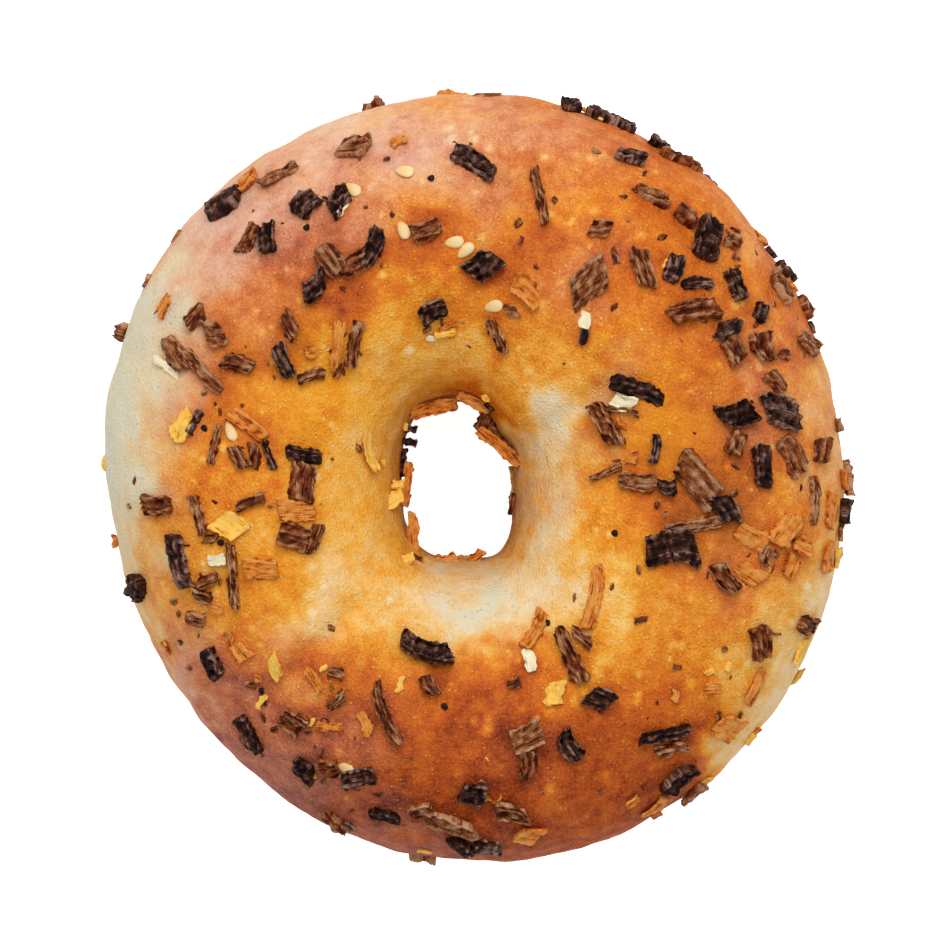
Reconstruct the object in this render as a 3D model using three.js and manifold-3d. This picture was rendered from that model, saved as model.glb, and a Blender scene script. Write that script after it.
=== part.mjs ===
// A large toasted onion bagel as one solid, in millimetres with +Z up.
// The origin is the middle of the foot that it rests on. Seen from above, +X is right and +Y is up.
import * as THREE from 'three';
import Module from 'manifold-3d';

// Outline of the ring seen from above
const OUTER_RADIUS = 57.0;
// Each swell of the outline: lobes round the ring, height in mm, angle of its first lobe in degrees
const OUTLINE_SWELLS = [[1, 0.5, 28], [2, 1.45, -70], [3, 0.4, 35], [4, 0.25, -26]];
const HOLE_CENTRE = [-2.3, -0.3];
const HOLE_HALF_WIDTH = 8.6;
const HOLE_HALF_LENGTH = 12.2;
const HOLE_SQUARENESS = 2.7;
// Each place where the dough bulges into the hole, or draws back from it if the share is below 0:
// angle round the hole and half-width in degrees, share of the hole's radius that it takes
const HOLE_BULGES = [[52, 22, 0.24], [302, 14, -0.07]];

// Section of the ring, from the hole's wall to the outer rim
const CREST_HEIGHT = 36.2;
const CREST_SWELLS = [[1, 0.5, 100], [2, 0.6, 20], [3, 0.45, 200], [5, 0.25, 50]];
const RIM_HEIGHT = 15.5;
const RIM_SWELLS = [[2, 0.7, 65], [3, 0.5, 10]];
const HOLE_WAIST_HEIGHT = 14.5;
const TOP_FULLNESS = 2.06;
const UNDERSIDE_FULLNESS = 2.25;
// How far the underside would bulge below its waist height before the baking board flattens it
const UNDERSIDE_DEPTH = 1.13;

// Low relief of the crust: [waves round the ring, waves round the section, height in mm, phase]
const CRUST_WAVES = [[5, 2, 0.22, 0.4], [8, 3, 0.16, 2.1], [3, 5, 0.14, 4.0], [13, 4, 0.1, 1.2]];
// Creases in the top: two ends in plan, depth and half-width in mm
const CREASES = [
  { from: [-17, -19], to: [-31, -33], depth: 0.7, halfWidth: 1.7 },
  { from: [8, 5], to: [19, 12.5], depth: 0.8, halfWidth: 1.8 },
  { from: [-30, -8], to: [-14, -13], depth: 0.5, halfWidth: 1.6 },
];

// Facets of the crust, round the ring and round its section
const STEPS_ROUND_RING = 64;
const STEPS_ROUND_SECTION = 28;

// Onion flakes and seeds
const FLAKE_SECTION = { rise: 0.75, ridge: 0.5, ragged: 0.22 };
const SINK = 0.9;
const FLAKE_CORNERS = 6;
// The flake's raised ridge runs from its front point to its back point, after the two outlines
const RIDGE_FRONT = 2 * FLAKE_CORNERS;
const RIDGE_BACK = RIDGE_FRONT + 1;
const FLAKE_TOP_FACETS = [
  [0, 1, RIDGE_FRONT], [1, 2, RIDGE_FRONT], [2, RIDGE_BACK, RIDGE_FRONT], [2, 3, RIDGE_BACK],
  [3, 4, RIDGE_BACK], [4, 5, RIDGE_BACK], [5, RIDGE_FRONT, RIDGE_BACK], [5, 0, RIDGE_FRONT],
];
// Widens a six-cornered outline, whose corners don't reach its full width
const FLAKE_SQUARING = 1.15;
const RIDGE_SHARE = 0.22;
const SEED_SECTION = { length: 3.1, width: 1.9, rise: 0.5, ridge: 0.5, ragged: 0.05 };
// A topping is drawn again where joining it would leave an edge shorter than this
const LEAST_EDGE = 0.01;
const MOST_DRAWS = 12;
// Half the turn, in radians, between the points that a tangent is taken from
const TANGENT_STEP = 0.01;
// Rounds of looking for the place under a point in plan, and how far out from the middle of the
// section towards either waist a topping's centre may lie
const PLACE_ROUNDS = 12;
const OUTERMOST_PLACE = 0.985;
const RANDOM_SEED = 911;
// Multiplier and modulus of the generator of random draws
const DRAW_MULTIPLIER = 16807;
const DRAW_MODULUS = 2147483647;

// The flakes that stand out on the top, by part of the ring:
// centre x and y in plan, length and width in mm, turn of the length from +X in degrees
const TOP_FLAKES = {
  northWest: [
    [-37.3, 40.9, 6.2, 3.8, 0], [-33.8, 44.3, 3.6, 2.8, 60], [-29, 45, 6.5, 2, 32],
    [-24.8, 40.6, 4.2, 3.4, 45], [-33.5, 35.4, 4.8, 2, 60], [-30.6, 35.5, 4.6, 2.8, 100],
    [-20, 40.9, 4.2, 3, 60], [-21.3, 32.6, 5, 3.4, -50], [-18, 31.8, 4.5, 3, 20],
    [-15.2, 34.2, 6, 2.8, 60], [-23.6, 28.6, 4.6, 3, 40], [-41.3, 23.8, 3.8, 2.4, 40],
    [-38.5, 21.3, 3.4, 3.2, 0], [-27.5, 23, 3.6, 2.4, -60],
  ],
  north: [
    [-17.8, 49, 4.6, 3, -10], [0.3, 46.8, 8, 3, -38], [10, 42, 9.4, 1.4, -80],
    [-7, 36.8, 4.6, 3, 15], [1.4, 31.7, 5, 4, 35], [8.2, 28, 5.2, 3.4, -35],
    [-6, 25, 4.4, 3, 25], [3.9, 21.4, 5.6, 1.6, -72], [17.3, 29, 7.2, 4.6, 35],
    [15, 56.4, 3.4, 2.6, -30], [20.5, 54.6, 5, 2, -70], [23.3, 53, 3, 2, -40],
  ],
  northEast: [
    [23.6, 47.8, 4.8, 2.6, -10], [26.8, 41.9, 5, 2.2, -18], [31.8, 38.8, 4, 2.6, -35],
    [35, 35.2, 6.6, 4.2, 65], [25.2, 31, 6, 2.8, -75], [29.8, 31, 4.4, 2.6, 70],
    [33.3, 29, 4.8, 2, 5], [39.1, 28.6, 5, 2.4, -70], [32.9, 24.8, 8, 3, 10],
    [46, 28.4, 5.2, 2.8, -65], [38, 22, 4, 3, 15], [31.5, 47.6, 10, 1.8, -38],
    [50, 25, 3, 2, -60],
  ],
  west: [
    [-44.3, 18.3, 6, 3, -45], [-40.3, 15.6, 8, 2, -42], [-35.2, 17, 5.2, 2.4, -8],
    [-28.4, 17.4, 5, 2.6, -65], [-24.2, 15.2, 5, 1.4, 15], [-18, 20, 6.5, 2.4, 75],
    [-43.3, 7.8, 5.4, 3, 50], [-33.8, 7.8, 6.4, 2.4, -33], [-38.5, 4.8, 6.5, 1.3, 70],
    [-34, 2.8, 3.8, 3.4, -70], [-25.6, 3.2, 5.6, 2.4, -3], [-25.8, -1, 5.6, 3.6, 80],
    [-26.6, -5, 5.6, 3.2, 0], [-27, -8.9, 4.8, 3.8, -15], [-47, -4.1, 5.6, 3, 5],
    [-40.8, -5.7, 6.4, 1.6, -78], [-36.2, -7.2, 4.4, 3.8, -30], [-43.8, -12.5, 8.6, 2.4, -80],
    [-35.8, -14.6, 9.6, 1.6, -85], [-31.6, -13.6, 5.6, 3, -8], [-50, -16.6, 5, 3, 45],
  ],
  east: [
    [24.2, 13, 8.6, 2.6, -25], [20.2, 8, 7.4, 2.6, -60], [39.3, 9.3, 5.6, 3.8, 15],
    [39.2, 5, 3.8, 2.8, 70], [45.6, 11, 6.2, 5, -10], [43.2, 1.6, 6.8, 3, -85],
    [47.6, 3.3, 6.4, 3.4, -55], [52, 4, 4, 2.6, 60], [24.8, -0.8, 6, 2.6, -5],
    [34.6, -1.5, 10.5, 5, -52], [33, -7.3, 9.5, 2, 12], [29.5, -10.8, 6.5, 6, 0],
    [46.8, -7.8, 6.4, 3.4, 40], [41.5, -9, 5.2, 3, -25], [50.9, -3.6, 7.8, 1.6, -80],
    [53.6, -5, 5.6, 2.8, 75], [53.2, -12, 5, 2.6, 70], [41.5, -14.5, 4.6, 3, -30],
    [37.5, -15, 5.2, 2.8, -50], [38.8, 19, 4.2, 3, -60], [43, 19.3, 4.6, 3, -65],
    [50, 20, 4.6, 3.4, -20],
  ],
  southWest: [
    [-34.5, -26.1, 3.2, 2.6, -40], [-38.7, -27.7, 5, 2.6, -65], [-26.9, -36.5, 4.4, 3.6, -20],
    [-33.3, -38.4, 6.4, 2.2, -62], [-25.1, -43.5, 3.8, 2.6, -20], [-21.3, -43.2, 3.4, 2.4, 0],
    [-20.6, -51.5, 4.4, 2, -25], [-17, -44.7, 6, 2.6, 20],
  ],
  south: [
    [-7.2, -26.2, 8.6, 3, -15], [9.4, -23, 7, 2, 65], [8.5, -27.5, 4.2, 2, -80],
    [12.3, -32.2, 4.4, 2.8, 75], [14.6, -26.6, 9, 2.6, -65], [18.4, -17.8, 9.5, 2.2, 75],
    [18.8, -33.1, 4, 3.4, -20], [-13.2, -35.3, 9, 2, -68], [8, -38.8, 5.4, 3.6, 30],
    [8.1, -43, 4.6, 2.3, 82], [14.4, -40, 4.8, 3, -60], [0, -47.3, 3.8, 3.8, 0],
    [5.9, -50, 5, 3, -20], [-3.5, -51.7, 8, 3, -15], [-1.8, -55, 4, 2.6, -70],
    [-13.2, -50.6, 4.8, 1.9, -3],
  ],
  southEast: [
    [42.8, -24.5, 5, 3.2, -70], [50, -22.1, 4.8, 2.6, -20], [42.3, -31.5, 6.2, 2, 65],
    [38.1, -37.5, 4.8, 4, -30], [28.7, -38.4, 8.4, 1.8, 3], [30.5, -45.1, 5.6, 2.4, 40],
    [27.5, -49.6, 5, 2.4, 30], [32.9, -47.3, 5, 2, 55],
  ],
  holeMouth: [
    [-15.8, 3.8, 6.4, 2.2, -65], [-11.9, -7.6, 6, 1.8, 88],
  ],
};
// Sesame seeds: centre x and y in plan, and turn in degrees
const SESAME_SEEDS = [
  [-18, 43, -35], [-10.2, 45.7, -15], [-10.4, 36.9, -60], [-2.8, 35.1, 5], [3.1, 25.6, 15],
  [-36.2, 6.2, -75],
];

// Flakes that the top view hides, spread over the lower side and the hole's wall
const SIDE_FLAKE_COUNT = 20;
const SIDE_FLAKE_ANGLES = [-0.75, 0.1];
const WALL_FLAKE_COUNT = 5;
const WALL_FLAKE_ANGLES = [Math.PI + 0.1, Math.PI + 0.6];
const SPREAD_FLAKE_LENGTHS = [3.2, 5.6];
const SPREAD_FLAKE_SLIMNESS = [0.4, 0.7];
const GOLDEN_TURN = Math.PI * (3 - Math.sqrt(5));

const toRadians = THREE.MathUtils.degToRad;

// Evenly spread draws from 0 to 1, the same in every run
function makeRandom(seed) {
  let state = seed;
  return () => {
    state = (state * DRAW_MULTIPLIER) % DRAW_MODULUS;
    return state / DRAW_MODULUS;
  };
}

const random = makeRandom(RANDOM_SEED);
const between = (low, high) => low + (high - low) * random();

// Sum of the swells at an angle round the ring
function swellAt(swells, angle) {
  return swells.reduce((sum, [lobes, height, turn]) =>
    sum + height * Math.cos(lobes * (angle - toRadians(turn))), 0);
}

// The rim's point in plan at an angle round the ring
function rimPoint(angle) {
  const radius = OUTER_RADIUS + swellAt(OUTLINE_SWELLS, angle);
  return [radius * Math.cos(angle), radius * Math.sin(angle)];
}

// The hole's narrowest outline in plan, a rounded rectangle written as a superellipse, with its
// bulges
function holePoint(angle) {
  const across = Math.abs(Math.cos(angle) / HOLE_HALF_WIDTH) ** HOLE_SQUARENESS;
  const along = Math.abs(Math.sin(angle) / HOLE_HALF_LENGTH) ** HOLE_SQUARENESS;
  const bare = (across + along) ** (-1 / HOLE_SQUARENESS);
  const radius = HOLE_BULGES.reduce((reach, [turn, halfWidth, share]) => {
    const bell = Math.exp(2 * (Math.cos(angle - toRadians(turn)) - 1) / toRadians(halfWidth) ** 2);
    return reach * (1 - share * bell);
  }, bare);
  return [HOLE_CENTRE[0] + radius * Math.cos(angle), HOLE_CENTRE[1] + radius * Math.sin(angle)];
}

// Depth of the creases at a point in plan
function creaseDepth(x, y) {
  return CREASES.reduce((depth, crease) => {
    const from = new THREE.Vector2(...crease.from);
    const along = new THREE.Vector2(...crease.to).sub(from);
    const offset = new THREE.Vector2(x, y).sub(from);
    const share = THREE.MathUtils.clamp(offset.dot(along) / along.lengthSq(), 0, 1);
    const distance = offset.addScaledVector(along, -share).length();
    return depth + crease.depth * Math.exp(-((distance / crease.halfWidth) ** 2));
  }, 0);
}

// A point of the crust: ringAngle runs round the ring, sectionAngle round its section from the
// rim (0) over the crest (half pi) to the hole's wall (pi) and back under the foot
function crustPoint(ringAngle, sectionAngle) {
  const [rimX, rimY] = rimPoint(ringAngle);
  const [holeX, holeY] = holePoint(ringAngle);
  const isTop = Math.sin(sectionAngle) >= 0;
  const power = 2 / (isTop ? TOP_FULLNESS : UNDERSIDE_FULLNESS);
  const cosine = Math.cos(sectionAngle);
  const outward = Math.sign(cosine) * Math.abs(cosine) ** power;
  const rise = Math.abs(Math.sin(sectionAngle)) ** power;
  const share = (1 + outward) / 2;
  const x = holeX + (rimX - holeX) * share;
  const y = holeY + (rimY - holeY) * share;
  const rimHeight = RIM_HEIGHT + swellAt(RIM_SWELLS, ringAngle);
  const waist = HOLE_WAIST_HEIGHT + (rimHeight - HOLE_WAIST_HEIGHT) * share;
  if (!isTop) {
    return new THREE.Vector3(x, y, Math.max(0, waist * (1 - UNDERSIDE_DEPTH * rise)));
  }
  const crest = CREST_HEIGHT + swellAt(CREST_SWELLS, ringAngle);
  const relief = CRUST_WAVES.reduce((sum, [roundRing, roundSection, height, phase]) =>
    sum + height * Math.sin(roundRing * ringAngle + phase)
      * Math.cos(roundSection * sectionAngle + phase), 0);
  const z = waist + (crest - waist) * rise + (relief - creaseDepth(x, y)) * rise;
  return new THREE.Vector3(x, y, z);
}

// The crust's outward normal and its two tangents, from neighbouring points
function crustFrame(ringAngle, sectionAngle) {
  const alongRing = crustPoint(ringAngle + TANGENT_STEP, sectionAngle)
    .sub(crustPoint(ringAngle - TANGENT_STEP, sectionAngle)).divideScalar(2 * TANGENT_STEP);
  const roundSection = crustPoint(ringAngle, sectionAngle + TANGENT_STEP)
    .sub(crustPoint(ringAngle, sectionAngle - TANGENT_STEP)).divideScalar(2 * TANGENT_STEP);
  const normal = new THREE.Vector3().crossVectors(alongRing, roundSection).normalize();
  return { alongRing, roundSection, normal };
}

// The two angles of the crust's top at a point in plan: each round turns the section line by what
// it still misses the point by
function anglesAbove(x, y) {
  let ringAngle = Math.atan2(y, x);
  let share = 0;
  for (let round = 0; round < PLACE_ROUNDS; round += 1) {
    const [rimX, rimY] = rimPoint(ringAngle);
    const [holeX, holeY] = holePoint(ringAngle);
    const spanX = rimX - holeX;
    const spanY = rimY - holeY;
    const spanSquared = spanX * spanX + spanY * spanY;
    share = ((x - holeX) * spanX + (y - holeY) * spanY) / spanSquared;
    const aside = (spanX * (y - holeY) - spanY * (x - holeX)) / Math.sqrt(spanSquared);
    ringAngle += aside / Math.hypot(x, y);
  }
  const outward = THREE.MathUtils.clamp(2 * share - 1, -OUTERMOST_PLACE, OUTERMOST_PLACE);
  const cosine = Math.sign(outward) * Math.abs(outward) ** (TOP_FULLNESS / 2);
  return [ringAngle, Math.acos(cosine)];
}

// A closed mesh from points and triangles, made a solid that can be joined
function toSolid(wasm, points, triangles) {
  const vertProperties = new Float32Array(points.flatMap((point) => point.toArray()));
  const triVerts = new Uint32Array(triangles.flat());
  return new wasm.Manifold(new wasm.Mesh({ numProp: 3, vertProperties, triVerts }));
}

// The bare ring of dough, a grid closed both ways
function makeCrust(wasm) {
  const points = [];
  const triangles = [];
  const index = (ring, section) =>
    (ring % STEPS_ROUND_RING) * STEPS_ROUND_SECTION + (section % STEPS_ROUND_SECTION);
  for (let ring = 0; ring < STEPS_ROUND_RING; ring += 1) {
    for (let section = 0; section < STEPS_ROUND_SECTION; section += 1) {
      const ringAngle = (ring / STEPS_ROUND_RING) * Math.PI * 2;
      const sectionAngle = (section / STEPS_ROUND_SECTION) * Math.PI * 2;
      points.push(crustPoint(ringAngle, sectionAngle));
      const corners = [
        index(ring, section), index(ring + 1, section),
        index(ring + 1, section + 1), index(ring, section + 1),
      ];
      triangles.push([corners[0], corners[1], corners[2]], [corners[0], corners[2], corners[3]]);
    }
  }
  return toSolid(wasm, points, triangles);
}

// A topping that follows the crust: a ragged outline laid on it, raised to a ridge along its
// length and sunk into the dough. Its length points along the heading, as near as the crust lets it.
function makeTopping(wasm, [ringAngle, sectionAngle], heading, size) {
  const { length, width, rise, ridge, ragged } = size;
  const { alongRing, roundSection, normal } = crustFrame(ringAngle, sectionAngle);
  const lengthwise = heading.clone().projectOnPlane(normal).normalize();
  const crosswise = new THREE.Vector3().crossVectors(normal, lengthwise);
  const place = (forward, sideways, height) => {
    const offset = new THREE.Vector3()
      .addScaledVector(lengthwise, forward).addScaledVector(crosswise, sideways);
    const ring = ringAngle + offset.dot(alongRing) / alongRing.lengthSq();
    const section = sectionAngle + offset.dot(roundSection) / roundSection.lengthSq();
    return crustPoint(ring, section).addScaledVector(crustFrame(ring, section).normal, height);
  };
  const top = [];
  const bottom = [];
  for (let corner = 0; corner < FLAKE_CORNERS; corner += 1) {
    const angle = (corner / FLAKE_CORNERS) * Math.PI * 2;
    const reach = between(1 - ragged, 1 + ragged) / 2;
    const forward = length * reach * Math.cos(angle);
    const sideways = width * reach * Math.sin(angle) * FLAKE_SQUARING;
    top.push(place(forward, sideways, rise * between(1 - ragged, 1 + ragged)));
    bottom.push(place(forward, sideways, -SINK));
  }
  const ridgeEnds = [RIDGE_SHARE, -RIDGE_SHARE].map((share) => place(share * length, 0, rise + ridge));
  const triangles = FLAKE_TOP_FACETS.map((facet) => [...facet]);
  for (let corner = 0; corner < FLAKE_CORNERS; corner += 1) {
    const next = (corner + 1) % FLAKE_CORNERS;
    const below = corner + FLAKE_CORNERS;
    triangles.push([below, next + FLAKE_CORNERS, next], [below, next, corner]);
    if (corner > 0 && corner < FLAKE_CORNERS - 1) {
      triangles.push([FLAKE_CORNERS, below + 1, below]);
    }
  }
  return toSolid(wasm, [...top, ...bottom, ...ridgeEnds], triangles);
}

// A direction in plan, by its angle from +X in degrees
function headingInPlan(degrees) {
  return new THREE.Vector3(Math.cos(toRadians(degrees)), Math.sin(toRadians(degrees)), 0);
}

// Each of the next three gives toppings by their place on the crust, heading and size

function topFlakes() {
  return Object.values(TOP_FLAKES).flat().map(([x, y, length, width, degrees]) => ({
    place: anglesAbove(x, y),
    heading: headingInPlan(degrees),
    size: { ...FLAKE_SECTION, length, width },
  }));
}

function sesameSeeds() {
  return SESAME_SEEDS.map(([x, y, degrees]) => ({
    place: anglesAbove(x, y),
    heading: headingInPlan(degrees),
    size: SEED_SECTION,
  }));
}

// Flakes of drawn sizes a golden turn apart, at section angles between the two given
function spreadFlakes(count, sectionAngles) {
  return Array.from({ length: count }, (_, flake) => {
    const ringAngle = flake * GOLDEN_TURN;
    const climb = between(0, Math.PI);
    const level = new THREE.Vector3(-Math.sin(ringAngle), Math.cos(ringAngle), 0);
    const length = between(...SPREAD_FLAKE_LENGTHS);
    const width = length * between(...SPREAD_FLAKE_SLIMNESS);
    return {
      place: [ringAngle, between(...sectionAngles)],
      heading: level.multiplyScalar(Math.cos(climb)).setZ(Math.sin(climb)),
      size: { ...FLAKE_SECTION, length, width },
    };
  });
}

function shortestEdge(solid) {
  const { vertProperties, triVerts } = solid.getMesh();
  const point = (corner) => new THREE.Vector3().fromArray(vertProperties, 3 * triVerts[corner]);
  let shortest = Infinity;
  for (let corner = 0; corner < triVerts.length; corner += 1) {
    const next = corner % 3 === 2 ? corner - 2 : corner + 1;
    shortest = Math.min(shortest, point(corner).distanceTo(point(next)));
  }
  return shortest;
}

// The solid with one topping joined on, drawn again while it would leave a needle of an edge,
// and left out if every draw does
function joinTopping(wasm, solid, { place, heading, size }) {
  for (let draw = 0; draw < MOST_DRAWS; draw += 1) {
    const joined = solid.add(makeTopping(wasm, place, heading, size));
    if (shortestEdge(joined) > LEAST_EDGE) {
      return joined;
    }
  }
  return solid;
}

// The dough with its toppings joined on. Of the shells that joining leaves, the largest is the
// bagel: any other is the skin of a sealed hollow, which is filled, or a loose scrap.
function makeBagel(wasm) {
  const toppings = [
    ...topFlakes(),
    ...sesameSeeds(),
    ...spreadFlakes(SIDE_FLAKE_COUNT, SIDE_FLAKE_ANGLES),
    ...spreadFlakes(WALL_FLAKE_COUNT, WALL_FLAKE_ANGLES),
  ];
  const joined = toppings.reduce(
    (solid, topping) => joinTopping(wasm, solid, topping), makeCrust(wasm));
  const shells = joined.decompose();
  shells.sort((one, other) => other.volume() - one.volume());
  return shells[0];
}

function toGeometry(solid) {
  const { vertProperties, triVerts } = solid.getMesh();
  const geometry = new THREE.BufferGeometry();
  geometry.setAttribute('position', new THREE.BufferAttribute(vertProperties, 3));
  geometry.setIndex(new THREE.BufferAttribute(triVerts, 1));
  geometry.computeVertexNormals();
  return geometry;
}

const wasm = await Module();
wasm.setup();

const crustMaterial = new THREE.MeshStandardMaterial({
  color: new THREE.Color(0.72, 0.45, 0.22),
  roughness: 0.5,
  metalness: 0,
});
const bagel = new THREE.Mesh(toGeometry(makeBagel(wasm)), crustMaterial);
bagel.name = 'bagel';

const onionBagel = new THREE.Group();
onionBagel.add(bagel);

export default onionBagel;
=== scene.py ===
# A toasted onion bagel, seen from straight above on a pale sheet.
# Sizes are in millimetres in the shape functions and in metres in Blender.
import math

import bpy
import numpy as np
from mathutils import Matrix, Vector


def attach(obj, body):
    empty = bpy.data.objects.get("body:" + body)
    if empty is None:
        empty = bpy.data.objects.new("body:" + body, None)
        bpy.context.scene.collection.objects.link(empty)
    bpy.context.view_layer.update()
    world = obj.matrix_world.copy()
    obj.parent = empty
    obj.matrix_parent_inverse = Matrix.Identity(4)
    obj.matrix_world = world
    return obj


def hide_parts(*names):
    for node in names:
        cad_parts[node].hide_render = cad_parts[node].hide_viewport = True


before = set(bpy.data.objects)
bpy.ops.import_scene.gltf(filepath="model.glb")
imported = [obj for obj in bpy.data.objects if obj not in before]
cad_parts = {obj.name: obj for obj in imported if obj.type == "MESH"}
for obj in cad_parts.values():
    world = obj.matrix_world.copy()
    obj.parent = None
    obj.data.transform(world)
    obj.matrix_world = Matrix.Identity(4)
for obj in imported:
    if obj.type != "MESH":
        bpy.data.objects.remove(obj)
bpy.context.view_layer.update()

bl_info = {
    "name": "Onion bagel",
    "version": (1, 0, 0),
    "blender": (4, 5, 0),
    "location": "3D View > Sidebar > Bagel",
    "description": "Builds a toasted onion bagel with its flakes, seeds and stage",
    "category": "Add Mesh",
}

MM = 0.001
TURN = 2.0 * math.pi

# Outline of the ring seen from above: lobes round the ring, height, angle of the first lobe
OUTER_RADIUS = 57.0
OUTLINE_SWELLS = [(1, 0.5, 28), (2, 1.45, -70), (3, 0.4, 35), (4, 0.25, -26)]
HOLE_CENTRE = (-2.3, -0.3)
HOLE_HALF_WIDTH = 8.6
HOLE_HALF_LENGTH = 12.2
HOLE_SQUARENESS = 2.7
# Where the dough bulges into the hole, or draws back from it if the share is below 0: angle round
# the hole and half-width in degrees, share of the hole's radius that it takes
HOLE_BULGES = [(52, 22, 0.24), (302, 14, -0.07)]

# Section of the ring, from the hole's wall to the outer rim
CREST_HEIGHT = 36.2
CREST_SWELLS = [(1, 0.5, 100), (2, 0.6, 20), (3, 0.45, 200), (5, 0.25, 50)]
RIM_HEIGHT = 15.5
RIM_SWELLS = [(2, 0.7, 65), (3, 0.5, 10)]
HOLE_WAIST_HEIGHT = 14.5
TOP_FULLNESS = 2.06
UNDERSIDE_FULLNESS = 2.25
UNDERSIDE_DEPTH = 1.13

# Rounds of the search for the crust above a point, and how near to the very edge it may go
SEARCH_ROUNDS = 12
STEEPEST_SHARE = 0.985

# Middle of the picture in plan
VIEW_CENTRE = (-0.38, 0.98)

# Low relief: waves round the ring, waves round the section, height, phase
CRUST_WAVES = [(5, 2, 0.22, 0.4), (8, 3, 0.16, 2.1), (3, 5, 0.14, 4.0), (13, 4, 0.1, 1.2)]
# Creases in the top: from x, y to x, y, depth and half-width
CREASES = [
    (-17, -19, -31, -33, 0.7, 1.7),
    (8, 5, 19, 12.5, 0.8, 1.8),
    (-30, -8, -14, -13, 0.5, 1.6),
]
# Soft unevenness of the skin: height, wavelength, seed of its draws, number of sine waves
SKIN_WAVES = [(0.16, 15.0, 1, 24), (0.06, 5.0, 2, 24), (0.022, 1.9, 3, 40)]
# Height above the foot over which the unevenness grows to its full measure
FOOT_FADE = 4.0
# Round blisters that stand out: x, y, diameter
BLISTERS = [
    (2.1, -37.7, 1.9), (0.2, -36.5, 1.2), (8.3, 15.8, 1.3), (25, 36, 1.5), (-41.9, -32.3, 1.8),
    (-35.6, -17.8, 1.6), (20.4, -8.6, 1.3), (32.4, -31.2, 1.6), (-9.4, 29.6, 1.2), (5.4, -21.2, 1.4),
    (-24, -13.4, 1.2), (40.2, 26.4, 1.3), (-3.6, 52.2, 1.4), (11.5, -46.8, 1.5), (24.6, -33.6, 1.4),
]

# Small blisters strewn over the top: number, seed, nearest and farthest from the middle, diameters
SMALL_BLISTER_COUNT = 170
SMALL_BLISTER_SEED = 5
SMALL_BLISTER_RADII = (20.0, 54.0)
SMALL_BLISTER_DIAMETERS = (0.6, 1.3)

# Flakes by kind: x and y of the centre in plan, length, width, turn of the length from +X in degrees
CHAR_FLAKES = [
    (-37.3, 40.9, 6.2, 3.8, 0), (-24.8, 40.6, 4.2, 3.4, 45), (-30.6, 35.5, 4.6, 2.8, 100),
    (-20, 40.9, 4.2, 3, 60), (-15.2, 34.2, 6, 2.8, 60), (-23.6, 28.6, 4.6, 3, 40),
    (0.3, 46.8, 8, 3, -38), (1.4, 31.7, 5, 4, 35), (-6, 25, 4.4, 3, 25), (16.6, 21, 2.6, 1.4, 80),
    (15, 56.4, 3.4, 2.6, -30), (18.8, 55.8, 2.6, 2, 30), (20.5, 54.6, 5, 2, -70),
    (23.3, 53, 3, 2, -40), (23.6, 47.8, 4.8, 2.6, -10), (35, 35.2, 6.6, 4.2, 65),
    (29.8, 31, 4.4, 2.6, 70), (33.3, 29, 4.8, 2, 5), (39.1, 28.6, 5, 2.4, -70),
    (42.8, 24.5, 2.8, 2, 60), (47.3, 31, 3.5, 1.6, -50), (52, 23, 2, 1, -60), (38, 22, 4, 3, 15),
    (28.5, 50.8, 3.5, 1.5, 5), (45.3, 34, 2.4, 0.8, -60), (-28.4, 17.4, 5, 2.6, -65),
    (-41.5, 8.2, 4.6, 1, 50), (-30.6, 3.2, 4.6, 1.2, -75), (-25.6, 3.2, 5.6, 2.4, -3),
    (-43.8, -12.5, 8.6, 2.4, -80), (-50, -16.6, 5, 3, 45), (24.6, 13.2, 9, 2.6, -22),
    (27.4, 4.2, 4.6, 1.4, 85), (39.3, 9.3, 5.6, 3.8, 15), (45.9, 9.8, 6.2, 4.8, -12),
    (43.2, 1.6, 6.8, 3, -85), (29, -1.6, 3, 2.2, -10), (56.4, -5.3, 4, 2.4, 70),
    (37.4, -4.6, 4.6, 3.6, -52), (27.9, -10.8, 4.6, 4.4, 20), (31.6, -10.4, 4.4, 5, -10),
    (-38.7, -27.7, 5, 2.6, -65), (-33.3, -38.4, 6.4, 2.2, -62), (-25.1, -43.5, 3.8, 2.6, -20),
    (-18.7, -52.3, 1.8, 1.4, -25), (-7.2, -26.2, 8.6, 3, -15), (18.8, -33.1, 4, 3.4, -20),
    (14.4, -40, 4.8, 3, -60), (0, -47.3, 3.8, 3.8, 0), (-1.8, -55, 4, 2.6, -70),
    (2.3, -55.2, 4, 2.6, -10), (-13.2, -50.6, 4.8, 1.9, -3), (-17, -44.7, 6, 2.6, 20),
    (28.7, -38.4, 8.4, 1.8, 3), (30.5, -45.1, 5.6, 2.4, 40),
]
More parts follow.
